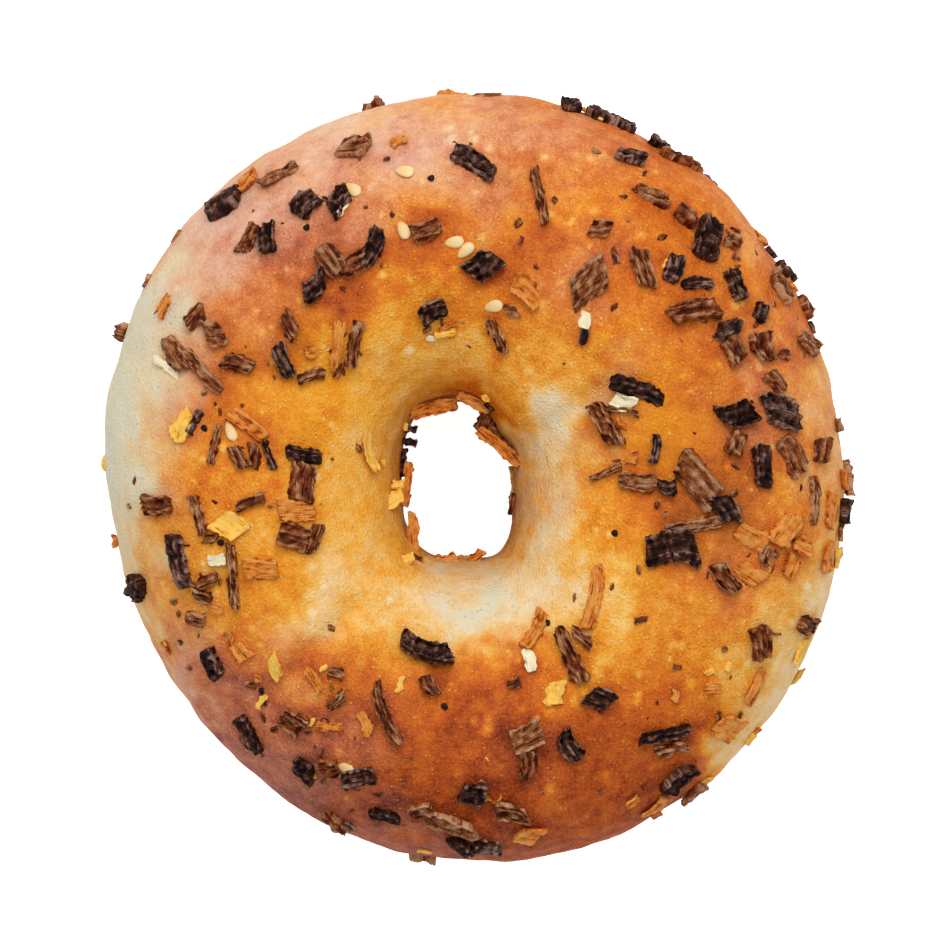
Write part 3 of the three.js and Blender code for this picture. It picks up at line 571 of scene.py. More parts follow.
def small_blisters():
    """Small blisters at drawn places of the top, evenly strewn over its area: x, y, diameter."""
    draw = np.random.default_rng(SMALL_BLISTER_SEED)
    nearest, farthest = SMALL_BLISTER_RADII
    radius = np.sqrt(draw.uniform(nearest**2, farthest**2, SMALL_BLISTER_COUNT))
    angle = draw.uniform(0.0, TURN, SMALL_BLISTER_COUNT)
    diameter = draw.uniform(*SMALL_BLISTER_DIAMETERS, SMALL_BLISTER_COUNT)
    return np.stack((radius * np.cos(angle), radius * np.sin(angle), diameter), axis=1)


def blister_bells(points, blisters):
    """Sum of round domes, never above 1: each is exp(-(distance over its radius) cubed)."""
    total = np.zeros(points.shape[:-1])
    for x, y, diameter in blisters:
        square = (points[..., 0] - x) ** 2 + (points[..., 1] - y) ** 2
        total += np.exp(-((square / (0.5 * diameter) ** 2) ** 1.5))
    return np.minimum(total, 1.0)


def stain_and_painted_shade(x, y, flakes):
    """Toasted syrup and painted shade round the flakes: a bell wider than each flake, set off from it
    towards the middle of the ring's hole."""
    bare = np.ones_like(x)
    for flake_x, flake_y, length, width, turn in flakes:
        radius = math.hypot(flake_x, flake_y)
        inward = 1.0 - STAIN_AND_SHADE_OFFSET / radius
        along = STAIN_AND_SHADE_SHARE * length + STAIN_AND_SHADE_MARGINS[0]
        across = STAIN_AND_SHADE_SHARE * width + STAIN_AND_SHADE_MARGINS[1]
        bell = spot_reach(x, y, flake_x * inward, flake_y * inward, along, across, turn)
        bare *= 1.0 - STAIN_AND_SHADE_DEPTH * bell
    return 1.0 - bare


def make_crust(settings):
    """The browned skin: the ring of dough on a fine grid that closes on itself both ways, raised
    along its normal by soft waves and round blisters, with its browning as attributes."""
    section_top = np.linspace(0.0, math.pi, settings.steps_over_top, endpoint=False)
    section_low = np.linspace(math.pi, TURN, settings.steps_under, endpoint=False)
    section = np.concatenate((section_top, section_low))[None, :]
    ring = np.linspace(0.0, TURN, settings.steps_round_ring, endpoint=False)[:, None]
    points = crust_point(ring, section)
    normal = crust_frame(ring, section)[2]
    blisters = np.concatenate((np.array(BLISTERS), small_blisters()))
    domes = blister_bells(points, blisters) * (np.sin(section) > 0.0)
    relief = settings.blister_height / MM * domes
    for height, wavelength, seed, count in SKIN_WAVES:
        relief += height * soft_waves(points, wavelength, seed, count)
    off_foot = np.clip(points[..., 2] / FOOT_FADE, 0.0, 1.0)
    shaped = points + normal * (relief * off_foot)[..., None]
    shaped[..., 2] = np.maximum(shaped[..., 2], 0.0)
    masks = browning_masks(points, section)
    masks["blister"] = domes
    floats = [(label, values) for label, values in masks.items()]
    faces = ring_faces(len(ring), section.shape[1], True)
    material = crust_material(settings)
    return put_mesh("crust", shaped.reshape(-1, 3), faces, material, floats)


def eased(values, begin, full):
    """Straight rise from 0 where the values pass begin to 1 where they pass full."""
    return np.clip((begin - values) / (begin - full), 0.0, 1.0)


def browning_masks(points, section):
    """Bake, painted sheen, raw, gold, stains with painted shade round the flakes, underside and painted
    shade in the hole's wall from 0 to 1 at every point of the skin. The plan is bent by soft waves
    first, so that the spots' edges wander, the edges of the stains and painted shade less so, and
    the underside has a level of its own."""
    bends = [
        sum(amount * soft_waves(points, wavelength, seed)
            for (amount, wavelength), seed in zip(EDGE_BENDS, seeds))
        for seeds in EDGE_BEND_SEEDS
    ]
    x, y = (points[..., axis] + bends[axis] for axis in (0, 1))
    stain_and_shade_x, stain_and_shade_y = (points[..., axis] + STAIN_AND_SHADE_BEND * bends[axis] for axis in (0, 1))
    height = points[..., 2]
    is_top = np.sin(section) > 0.0
    below = eased(height, *UNDERSIDE_HEIGHTS) * (np.sin(section) < 0.0)
    above = 1.0 - below
    top_bake = blended_level(x, y, BAKE_SPOTS, GROUND_LEVEL, GROUND_WEIGHT)
    amount, wavelength, seed = UNDERSIDE_WAVES
    low_bake = UNDERSIDE_LEVEL + amount * soft_waves(points, wavelength, seed)
    low_bake += FOOT_DARKENING * eased(height, FOOT_DARKENING_HEIGHT, 0.0)
    bake = top_bake + (low_bake - top_bake) * below
    amount, wavelength, seed = FINE_LEVEL_WAVES
    bake += amount * soft_waves(points, wavelength, seed)
    # Painted shade in the hole: full at its narrowest line, fading above and below
    off_wall = np.abs(np.mod(section, TURN) / math.pi - 1.0)
    wall = eased(off_wall, *PAINTED_WALL_SHADE) ** PAINTED_WALL_SHADE_POWER
    # Stains and painted shade round the flakes, set towards the hole's middle
    stain_and_shade = stain_and_painted_shade(stain_and_shade_x, stain_and_shade_y, CHAR_FLAKES + BROWN_FLAKES + AMBER_FLAKES)
    return {
        "bake": np.clip(bake, 0.0, 1.0),
        "painted_sheen": summed_amount(x, y, PAINTED_SHEEN_SPOTS) * above,
        "raw": summed_amount(x, y, RAW_SPOTS) * above,
        "gold": summed_amount(x, y, GOLD_SPOTS) * above,
        "stain_and_shade": stain_and_shade * above * is_top,
        "under": below,
        "wall": np.broadcast_to(wall, height.shape),
    }


def listed_chips(rows):
    """Places, headings and sizes of chips listed by x, y, length, width and turn in plan. On the
    steep rim, which the plan shows edge on, a chip also climbs or dips, by an amount of its own."""
    table = np.array(rows, dtype=float)
    ring, section = angles_above(table[:, 0], table[:, 1])
    turn = np.radians(table[:, 4])
    climb = RIM_CLIMB * np.sin(RIM_CLIMB_TURNS * turn) * np.cos(section) ** RIM_CLIMB_POWER
    heading = np.stack((np.cos(turn), np.sin(turn), climb), axis=1)
    return {"ring": ring, "section": section, "heading": heading,
            "length": table[:, 2], "width": table[:, 3]}


def spread_chips():
    """The flakes of the lower side and the hole's wall: a golden turn apart round the ring, with
    their climb, length, slimness and section angle drawn as in the solid."""
    state = RANDOM_SEED
    rows = []
    for count, angles in ((SIDE_FLAKE_COUNT, SIDE_FLAKE_ANGLES), (WALL_FLAKE_COUNT, WALL_FLAKE_ANGLES)):
        for flake in range(count):
            shares = []
            for _ in range(4):
                state = state * DRAW_MULTIPLIER % DRAW_MODULUS
                shares.append(state / DRAW_MODULUS)
            climb = math.pi * shares[0]
            length = SPREAD_FLAKE_LENGTHS[0] + shares[1] * np.ptp(SPREAD_FLAKE_LENGTHS)
            slimness = SPREAD_FLAKE_SLIMNESS[0] + shares[2] * np.ptp(SPREAD_FLAKE_SLIMNESS)
            section = angles[0] + shares[3] * (angles[1] - angles[0])
            ring = flake * GOLDEN_TURN
            level = math.cos(climb)
            heading = (-math.sin(ring) * level, math.cos(ring) * level, math.sin(climb))
            rows.append((ring, section, *heading, length, length * slimness))
    table = np.array(rows)
    return {"ring": table[:, 0], "section": table[:, 1], "heading": table[:, 2:5],
            "length": table[:, 5], "width": table[:, 6]}


def free_chips(rows):
    """Level chips at their own places, listed by x, y, height, length, width and turn."""
    table = np.array(rows, dtype=float)
    turn = np.radians(table[:, 5])
    heading = np.stack((np.cos(turn), np.sin(turn), np.zeros_like(turn)), axis=1)
    return {"centre": table[:, :3], "heading": heading, "length": table[:, 3], "width": table[:, 4]}


def picked_chips(chips, picks):
    """Some of the chips, by their numbers."""
    return {label: values[picks] for label, values in chips.items()}


def joined_chips(*sets):
    """Several sets of chips as one."""
    return {label: np.concatenate([chips[label] for chips in sets]) for label in sets[0]}


def angular_width(s, t, draw_column):
    """Share of the full width along the length: each side is the lowest of a flat line and two
    sloping ones, which gives a cut chip straight edges and blunt or pointed ends."""
    sides = []
    for _ in range(2):
        front = draw_column(*CUT_WIDTHS) + draw_column(*CUT_SLOPES) * (1.0 - s)
        back = draw_column(*CUT_WIDTHS) + draw_column(*CUT_SLOPES) * (1.0 + s)
        sides.append(np.minimum(1.0, np.minimum(front, back)))
    return np.where(t > 0.0, sides[0], sides[1])


def seed_width(s, t, draw_column):
    """Share of the full width along a pear-shaped seed."""
    return np.sqrt(np.maximum(1.0 - s**2, 0.0)) * (1.0 + SEED_TAPER * s)


def laid_points(chips, forward, sideways, height):
    """Points of the chips from their own lengths along, across and up: about a place of their own,
    or over the crust, whose two tangents turn the first two into angles."""
    if "centre" in chips:
        upward = np.array((0.0, 0.0, 1.0))
        crosswise = np.cross(upward, chips["heading"])
        offset = chips["heading"][:, None] * forward[..., None] + crosswise[:, None] * sideways[..., None]
        return chips["centre"][:, None] + offset + upward * height[..., None]
    ring, section = chips["ring"], chips["section"]
    along_ring, round_section, normal = crust_frame(ring, section)
    lengthwise = chips["heading"] - (chips["heading"] * normal).sum(1, keepdims=True) * normal
    lengthwise /= np.linalg.norm(lengthwise, axis=1, keepdims=True)
    crosswise = np.cross(normal, lengthwise)
    offset = lengthwise[:, None] * forward[..., None] + crosswise[:, None] * sideways[..., None]
    ring_at = ring[:, None] + (offset * along_ring[:, None]).sum(-1) / (along_ring**2).sum(1)[:, None]
    drop = (offset * round_section[:, None]).sum(-1) / (round_section**2).sum(1)[:, None]
    section_at = section[:, None] + drop
    points = crust_point(ring_at, section_at) + crust_frame(ring_at, section_at)[2] * height[..., None]
    points[..., 2] = np.maximum(points[..., 2], CHIP_CLEARANCE)
    return points


def nearness_to_edge(s, t, powers):
    """0 in a chip's middle and 1 at its sides and ends."""
    return np.maximum(np.abs(t) ** powers[0], np.abs(s) ** powers[1])


def rising(least, size):
    """From the least share at no size to 1 at full size."""
    return least + (1.0 - least) * size


def chip_outline(chips, style, s, t, waves_at, draw_column):
    """Where a chip's loops lie along and across it, and their share of the full width: slanted at
    the ends, bowed to one side, and ragged along the edges by soft waves."""
    wild = style["wild"]
    length = chips["length"][:, None, None]
    width = chips["width"][:, None, None]
    share = style["width_rule"](s, t, draw_column)
    forward = CHIP_REACH * length * s + draw_column(*END_SLANTS) * wild * width * t * np.abs(s)
    sideways = 0.5 * width * t * share + draw_column(*SIDE_BOWS) * wild * width * (s**2 - ARCH_LEVEL)
    coarse, fine, finest = waves_at(forward, sideways)
    ragged = wild * nearness_to_edge(s, t, RAGGED_POWERS)
    forward = forward + ragged * (RAGGED_FINE[0] * fine + RAGGED_COARSE[0] * coarse)
    sideways = sideways + ragged * (RAGGED_FINE[1] * finest + RAGGED_COARSE[1] * coarse)
    return forward, sideways, share, coarse, fine


def chip_rise(chips, style, s, t, side, share, coarse, fine, draw_column):
    """Height of a chip's loops over the skin, and how high its folds stand, which the material paints
    as light on the ridges and shade between them: the middle is cupped across, arched along, tilted
    both ways and twisted, and the top is folded along the grain."""
    wild = style["wild"]
    length = chips["length"][:, None, None]
    width = chips["width"][:, None, None]
    size = np.minimum(1.0, width / FULL_SIZE_WIDTH)
    thick = style["thickness"] * draw_column(*THICKNESS_SPREAD) * rising(LEAST_THICKNESS, size)
    thick = thick * share ** style["end_thinning"]
    cup, arch, tilt, lean, twist = (draw_column(*spread) * wild for spread in CURLS)
    cupped = np.abs(t) ** CUP_POWER * share**2 - CUP_LEVEL
    middle = style["seat"] * rising(LEAST_SEAT, size) + cup * 0.5 * width * cupped
    middle = middle + arch * 0.5 * length * (s**2 - ARCH_LEVEL) + tilt * 0.5 * length * s
    middle = middle + lean * 0.5 * width * t + twist * 0.5 * width * s * t * share
    folds = np.round(draw_column(*FOLD_COUNTS)) * math.pi * t + draw_column(0.0, TURN)
    relief = RIDGE_HEIGHT - np.abs(np.sin(0.5 * (folds + FOLD_WANDER * coarse)))
    relief = relief + RIDGE_CRINKLES[0] * coarse + RIDGE_CRINKLES[1] * fine
    depth = style["fold_depth"] * draw_column(*FOLD_DEPTH_SPREAD) * rising(LEAST_FOLDS, size)
    height = middle + 0.5 * thick * side + (side > 0.0) * depth * relief * np.abs(side)
    return height, np.clip(0.5 + FOLD_PAINTED_LIGHT_CONTRAST * relief, 0.0, 1.0)


def with_poles(values, pole=None):
    """A row of values for each chip, and one more for either end: the mean of the loop there, or
    the value given."""
    count = len(values)
    ends = [
        np.mean(values[:, end], axis=-1)[:, None] if pole is None else np.full((count, 1), pole)
        for end in (0, -1)
    ]
    return np.concatenate((values.reshape(count, -1), *ends), axis=1)


def chip_faces(rings, around):
    """Triangles of one closed chip: its loops' quads in halves, and a fan at either end."""
    quads = ring_faces(rings, around, False)[:, ::-1]
    column = np.arange(around)
    beside = (column + 1) % around
    pole = rings * around
    start = np.stack((np.full(around, pole), beside, column), axis=1)
    last = (rings - 1) * around
    end = np.stack((np.full(around, pole + 1), last + column, last + beside), axis=1)
    return np.concatenate((quads[:, [0, 1, 2]], quads[:, [0, 2, 3]], start, end))


def chip_mesh(chips, style, seed):
    """Closed chips that lie on the crust. Each is a flat rounded loop carried along its length:
    s runs along it from -1 to 1, t across the loop from side to side, and side up it. The whole
    follows the crust's two tangents."""
    draw = np.random.default_rng(seed)
    count = len(chips["length"])

    def draw_column(low, high):
        return draw.uniform(low, high, count)[:, None, None]

    def place_waves(forward, sideways):
        number = CHIP_NOISE_STEP * np.arange(count)[:, None, None]
        place = np.stack(np.broadcast_arrays(CHIP_NOISE_SQUEEZE * forward, sideways, number), axis=-1)
        return [soft_waves(place, length, seed + 1 + order) for order, length in enumerate(CHIP_WAVES)]

    rings, around = style["rings"], style["around"]
    s = np.linspace(-1.0, 1.0, rings)[None, :, None]
    s = np.sign(s) * np.abs(s) ** style["end_packing"]
    loop = np.linspace(0.0, TURN, around, endpoint=False)[None, None, :]
    t = np.sign(np.cos(loop)) * np.abs(np.cos(loop)) ** style["edge_power"]
    side = np.sign(np.sin(loop)) * np.abs(np.sin(loop)) ** SIDE_POWER
    forward, sideways, share, coarse, fine = chip_outline(chips, style, s, t, place_waves, draw_column)
    height, relief = chip_rise(chips, style, s, t, side, share, coarse, fine, draw_column)
    edge = nearness_to_edge(s, t, EDGE_POWERS)
    forward, sideways, height, relief, edge = np.broadcast_arrays(
        forward, sideways, height, relief, edge)
    forward, sideways, height = (with_poles(values) for values in (forward, sideways, height))

    points = laid_points(chips, forward, sideways, height)
    chip_points = points.shape[1]
    faces = chip_faces(rings, around)[None] + chip_points * np.arange(count)[:, None, None]
    number = np.repeat(np.arange(count), chip_points)
    floats = [
        ("edge", with_poles(edge, 1.0).ravel()), ("tone", draw.uniform(0.0, 1.0, count)[number]),
        ("share", (forward / chips["length"][:, None]).ravel()),
        # Fold height, which the material paints as light on the ridges and shade between them
        ("relief", with_poles(relief, 0.5).ravel()),
    ]
    grain = np.stack((forward.ravel(), sideways.ravel(), CHIP_NOISE_STEP * number), axis=1)
    return points.reshape(-1, 3), faces.reshape(-1, 3), floats, [("grain", grain)]


# Ways of making a chip: facets, how square its edges are, thickness, height of its middle above
# the skin, how much it curls, the depth of its folds, the rule of its width, how its loops crowd at
# the ends, and how it thins there
LARGE_CHIP = {
    "rings": 30, "around": 32, "edge_power": 0.6, "thickness": 1.7, "seat": 0.65, "wild": 1.0,
    "fold_depth": 0.75, "width_rule": angular_width, "end_packing": 1.0, "end_thinning": 0.0,
}
SMALL_CHIP = dict(LARGE_CHIP, rings=12, around=12, thickness=1.0, seat=0.4, fold_depth=0.3)
THIN_CHIP = dict(LARGE_CHIP, rings=26, around=26, thickness=0.8, seat=0.45, fold_depth=0.32)
SESAME_SHAPE = {
    "rings": 11, "around": 12, "edge_power": 0.9, "thickness": 1.0, "seat": 0.3, "wild": 0.0,
    "fold_depth": 0.0, "width_rule": seed_width, "end_packing": 0.6, "end_thinning": 0.5,
}
POPPY_SHAPE = dict(SESAME_SHAPE, rings=7, around=8, thickness=0.85, seat=0.25)
CRUMB_SHAPE = dict(LARGE_CHIP, rings=4, around=6, thickness=0.6, seat=0.15, fold_depth=0.0, wild=0.6)
# Plan area from which a flake counts as large
LARGE_CHIP_AREA = 4.5


def add_node(tree, kind, inputs=None, **settings):
    """A node with its settings and the plain values of its inputs."""
    node = tree.nodes.new(kind)
    for label, value in settings.items():
        setattr(node, label, value)
    for label, value in (inputs or {}).items():
        node.inputs[label].default_value = value
    return node


def add_ramp(tree, factor, stops):
    """Colours blended along a factor."""
    node = add_node(tree, "ShaderNodeValToRGB")
    elements = node.color_ramp.elements
    elements[0].position, elements[1].position = stops[0][0], stops[-1][0]
    elements[0].color, elements[1].color = stops[0][1], stops[-1][1]
    for place, colour in stops[1:-1]:
        elements.new(place).color = colour
    tree.links.new(factor, node.inputs["Fac"])
    return node.outputs["Color"]


def mix_colours(tree, factor, first, second, blend="MIX"):
    """Two colours mixed by a factor that is a socket or a number."""
    node = add_node(tree, "ShaderNodeMix", data_type="RGBA", blend_type=blend)
    for socket, value in ((node.inputs[0], factor), (node.inputs[6], first), (node.inputs[7], second)):
        if isinstance(value, bpy.types.NodeSocket):
            tree.links.new(value, socket)
        else:
            socket.default_value = value
    return node.outputs[2]


def add_maths(tree, operation, first, second=None, clamp=False):
    """A sum, product or other rule on one or two sockets or numbers."""
    node = add_node(tree, "ShaderNodeMath", operation=operation, use_clamp=clamp)
    for socket, value in zip(node.inputs, (first, second)):
        if isinstance(value, bpy.types.NodeSocket):
            tree.links.new(value, socket)
        elif value is not None:
            socket.default_value = value
    return node.outputs[0]


def read_attribute(tree, label, output="Fac"):
    """A mask or a vector that the piece's mesh holds."""
    return add_node(tree, "ShaderNodeAttribute", attribute_name=label).outputs[output]


def object_place(tree):
    """Object coordinates, in metres."""
    return add_node(tree, "ShaderNodeTexCoord").outputs["Object"]


def new_group(name, inputs, outputs):
    """An empty shader node group with named sockets: label, socket type and default."""
    group = bpy.data.node_groups.new(name, "ShaderNodeTree")
    for label, kind, default in inputs:
        socket = group.interface.new_socket(label, in_out="INPUT", socket_type=kind)
        if default is not None:
            socket.default_value = default
    for label, kind in outputs:
        group.interface.new_socket(label, in_out="OUTPUT", socket_type=kind)
    return group, group.nodes.new("NodeGroupInput"), group.nodes.new("NodeGroupOutput")


# How much finer the mottle's second noise is than its first
FINE_MOTTLE_RATIO = 4.3
# Cones of the pores: distance at which they meet the mean level, and their height beside the grain's
CONE_RADIUS = 0.55
CONE_SHARE = 0.5
# Reach of the largest pimple as a share of its cell, and how steep its edge is
PIMPLE_REACH = 0.34
PIMPLE_STEEPNESS = 9.0


def mottle_group():
    """Uneven browning: two sizes of noise about zero, times the amount asked for."""
    name = "browned mottle"
    if name in bpy.data.node_groups:
        return bpy.data.node_groups[name]
    sockets = (("Vector", "NodeSocketVector", None), ("Scale", "NodeSocketFloat", 200.0),
               ("Amount", "NodeSocketFloat", 0.1))
    tree, source, result = new_group(name, sockets, (("Shift", "NodeSocketFloat"),))
    wide = add_node(tree, "ShaderNodeTexNoise", {"Detail": 3.0, "Roughness": 0.6})
    fine = add_node(tree, "ShaderNodeTexNoise", {"Detail": 2.0, "Roughness": 0.6})
    for node in (wide, fine):
        tree.links.new(source.outputs["Vector"], node.inputs["Vector"])
    tree.links.new(source.outputs["Scale"], wide.inputs["Scale"])
    finer = add_maths(tree, "MULTIPLY", source.outputs["Scale"], FINE_MOTTLE_RATIO)
    tree.links.new(finer, fine.inputs["Scale"])
    both = add_maths(tree, "ADD", wide.outputs["Fac"], fine.outputs["Fac"])
    shift = add_maths(tree, "MULTIPLY", add_maths(tree, "SUBTRACT", both, 1.0), source.outputs["Amount"])
    tree.links.new(shift, result.inputs["Shift"])
    return tree


def pore_group():
    """Height of a baked skin: fine grain on cones that stand round the points of a Voronoi
    pattern."""
    name = "baked pores"
    if name in bpy.data.node_groups:
        return bpy.data.node_groups[name]
    sockets = (("Vector", "NodeSocketVector", None), ("Scale", "NodeSocketFloat", 900.0))
    tree, source, result = new_group(name, sockets, (("Height", "NodeSocketFloat"),))
    grain = add_node(tree, "ShaderNodeTexNoise", {"Detail": 4.0, "Roughness": 0.6})
    cells = add_node(tree, "ShaderNodeTexVoronoi", {"Randomness": 1.0})
    for node in (grain, cells):
        tree.links.new(source.outputs["Vector"], node.inputs["Vector"])
        tree.links.new(source.outputs["Scale"], node.inputs["Scale"])
    cone = add_maths(tree, "SUBTRACT", CONE_RADIUS, cells.outputs["Distance"])
    cone = add_maths(tree, "MULTIPLY", cone, CONE_SHARE)
    height = add_maths(tree, "ADD", grain.outputs["Fac"], cone)
    tree.links.new(height, result.inputs["Height"])
    return tree


def pimple_group():
    """Mask of tiny round pimples, one for each cell of a Voronoi pattern, as large as drawn."""
    name = "tiny pimples"
    if name in bpy.data.node_groups:
        return bpy.data.node_groups[name]
    sockets = (("Vector", "NodeSocketVector", None), ("Scale", "NodeSocketFloat", 800.0))
    tree, source, result = new_group(name, sockets, (("Mask", "NodeSocketFloat"),))
    cells = add_node(tree, "ShaderNodeTexVoronoi", {"Randomness": 1.0})
    tree.links.new(source.outputs["Vector"], cells.inputs["Vector"])
    tree.links.new(source.outputs["Scale"], cells.inputs["Scale"])
    channels = add_node(tree, "ShaderNodeSeparateColor")
    tree.links.new(cells.outputs["Color"], channels.inputs["Color"])
    reach = add_maths(tree, "MULTIPLY", channels.outputs["Red"], PIMPLE_REACH)
    inside = add_maths(tree, "SUBTRACT", reach, cells.outputs["Distance"])
    mask = add_maths(tree, "MULTIPLY", inside, PIMPLE_STEEPNESS, True)
    tree.links.new(mask, result.inputs["Mask"])
    return tree


def use_group(tree, group, values, vector=None):
    """A group placed in a material with its own values."""
    node = add_node(tree, "ShaderNodeGroup", node_tree=group)
    for label, value in values.items():
        node.inputs[label].default_value = value
    if vector is not None:
        tree.links.new(vector, node.inputs["Vector"])
    return node.outputs[0]


# Shine of every surface under the coat, which is dull beside the usual 0.5
SPECULAR_LEVEL = 0.08


def new_material(name, roughness, coat=0.0, coat_roughness=0.3):
    """A material with a Principled shader, and its node tree and shader."""
    material = bpy.data.materials.new(name)
    material.use_nodes = True
    tree = material.node_tree
    shader = tree.nodes["Principled BSDF"]
    shader.inputs["Roughness"].default_value = roughness
    shader.inputs["Specular IOR Level"].default_value = SPECULAR_LEVEL
    shader.inputs["Coat Weight"].default_value = coat
    shader.inputs["Coat Roughness"].default_value = coat_roughness
    return material, tree, shader


def join_bump(tree, shader, height, distance, strength=1.0):
    """Height in the Bump node's own distance, in metres."""
    bump = add_node(tree, "ShaderNodeBump", {"Strength": strength, "Distance": distance})
    tree.links.new(height, bump.inputs["Height"])
    tree.links.new(bump.outputs["Normal"], shader.inputs["Normal"])


# Fineness of the skin's patterns, in features for each metre
MOTTLE_SCALE = 110.0
SPECKLE_SCALE = 620.0
GRAIN_SCALE = 2700.0
PIMPLE_SCALE = 1150.0
PATCH_SCALE = 90.0
PORE_SCALE = 2300.0
# How much paler the blisters are, and how patchy the painted sheen, how uneven the raw skin
BLISTER_PALENESS = 0.28
PAINTED_SHEEN_PATCHINESS = 0.5
RAW_UNEVENNESS = 1.5
# Weights of the golden yellow and of the painted shade in the hole
GOLD_WEIGHT = 0.44
PAINTED_WALL_SHADE_WEIGHT = 0.9
# What the mottling and the underside add to the roughness, and the pimples to the height
MOTTLED_ROUGHNESS = 0.8
UNDERSIDE_ROUGHNESS = 0.35
PIMPLE_HEIGHT = 0.6


def weighed_sum(tree, parts, start=0.0, clamp=False):
    """Sum of sockets by their weights, from a start that is a number: socket and weight."""
    total = start
    for number, (socket, weight) in enumerate(parts):
        weighed = add_maths(tree, "MULTIPLY", socket, weight) if weight != 1.0 else socket
        is_last = number == len(parts) - 1
        total = add_maths(tree, "ADD", weighed, total, clamp and is_last)
    return total


def crust_material(settings):
    """Baked skin: browning from pale through golden and orange to red-brown, or to mauve where a sheen is
    painted, mottled at three sizes, darker round the flakes by stains and painted shade, darker in the
    hole by painted shade, and paler on the blisters."""
    material, tree, shader = new_material(
        "baked crust", settings.roughness, coat=settings.gloss, coat_roughness=0.28)
    place = object_place(tree)
    mottle = mottle_group()
    shift = use_group(tree, mottle, {"Scale": MOTTLE_SCALE, "Amount": settings.mottling}, place)
    speckle = use_group(tree, mottle, {"Scale": SPECKLE_SCALE, "Amount": settings.speckling}, place)
    grain = use_group(tree, mottle, {"Scale": GRAIN_SCALE, "Amount": settings.graining}, place)
    pimples = use_group(tree, pimple_group(), {"Scale": PIMPLE_SCALE}, place)
    # The pimples make the skin paler in specks, partly as painted glints
    bake = weighed_sum(tree, [
        (read_attribute(tree, "bake"), 1.0), (shift, 1.0), (speckle, 1.0), (grain, 1.0),
        (pimples, -settings.pimple_paleness_and_glints), (read_attribute(tree, "stain_and_shade"), settings.staining_and_shade),
        (read_attribute(tree, "blister"), -BLISTER_PALENESS),
    ], settings.bake_shift, True)
    baked = add_ramp(tree, bake, [
        (0.0, settings.pale_colour), (0.17, settings.cream_colour), (0.37, settings.golden_colour),
        (0.55, settings.orange_colour), (0.78, settings.brown_colour), (1.0, settings.dark_colour),
    ])
    # Painted sheen: mauve tones mixed in where the soft light's sheen on the browned skin is painted
    sheened = add_ramp(tree, bake, [
        (0.0, settings.pink_pale_colour), (0.35, settings.pink_colour), (0.6, settings.rose_brown_colour),
        (0.82, settings.mauve_colour), (1.0, settings.dark_mauve_colour),
    ])
    patchy = use_group(tree, mottle, {"Scale": PATCH_SCALE, "Amount": PAINTED_SHEEN_PATCHINESS}, place)
    painted_sheen = read_attribute(tree, "painted_sheen")
    painted_sheen = add_maths(tree, "MULTIPLY", painted_sheen, add_maths(tree, "ADD", patchy, 1.0), True)
    colour = mix_colours(tree, painted_sheen, baked, sheened)
    gold = add_maths(tree, "MULTIPLY", read_attribute(tree, "gold"), GOLD_WEIGHT)
    colour = mix_colours(tree, gold, colour, settings.yellow_colour)
    uneven_raw = weighed_sum(tree, [(speckle, RAW_UNEVENNESS)], 1.0)
    raw = add_maths(tree, "MULTIPLY", read_attribute(tree, "raw"), uneven_raw, True)
    colour = mix_colours(tree, raw, colour, settings.raw_colour)
    # Painted shade in the hole: the colour is multiplied by the wall shade colour there
    wall = add_maths(tree, "MULTIPLY", read_attribute(tree, "wall"), PAINTED_WALL_SHADE_WEIGHT)
    colour = mix_colours(tree, wall, colour, settings.painted_wall_shade_colour, "MULTIPLY")
    tree.links.new(colour, shader.inputs["Base Color"])
    roughness = weighed_sum(tree, [
        (shift, MOTTLED_ROUGHNESS), (read_attribute(tree, "under"), UNDERSIDE_ROUGHNESS),
    ], settings.roughness, True)
    tree.links.new(roughness, shader.inputs["Roughness"])
    pores = use_group(tree, pore_group(), {"Scale": PORE_SCALE}, place)
    height = weighed_sum(tree, [(pores, 1.0), (pimples, PIMPLE_HEIGHT)])
    join_bump(tree, shader, height, settings.pore_depth)
    return material


# Looks of the flakes by kind: lightness, how much lighter the edges are, the power that makes the
# lightest tone paler than the kind's colour, and the depth of the crinkles in mm
FLAKE_LOOKS = {
    "char_flakes": (-0.05, 0.1, 0.38, 0.18),
    "brown_flakes": (0.06, 0.14, 0.42, 0.18),
    "amber_flakes": (0.22, 0.1, 0.72, 0.12),
    "pale_flakes": (0.55, 0.12, 0.75, 0.06),
    "white_flakes": (0.45, 0.0, 1.0, 0.06),
}
CRUMB_LOOK = (0.0, 0.1, 0.4, 0.18)
# Patterns of a flake, in features for each mm: fibres, stretched along the grain, crinkles, specks
FIBRE_SCALE = 3.0
FIBRE_STRETCH = (0.12, 1.5, 1.0)
CRINKLE_SCALE = 5.0
SPECK_SCALE = 2.8
# Weights of a flake's level: sharp ridges between the fibres, and how sharp, then the fibres, the
# crinkles, the specks, the folds, whose height paints light on their ridges and shade between them,
# and the flake's own tone
RIDGE_WEIGHT = 0.35
RIDGE_SHARPNESS = 9.0
FIBRE_WEIGHT = 2.2
CRINKLE_WEIGHT = 1.7
SPECK_WEIGHT = 0.25
FOLD_PAINTED_LIGHT_WEIGHT = 1.2
TONE_WEIGHT = 0.36
# Taken off the weighed sum, which leaves an average flake at a little under a half
LEVEL_OFFSET = 2.5


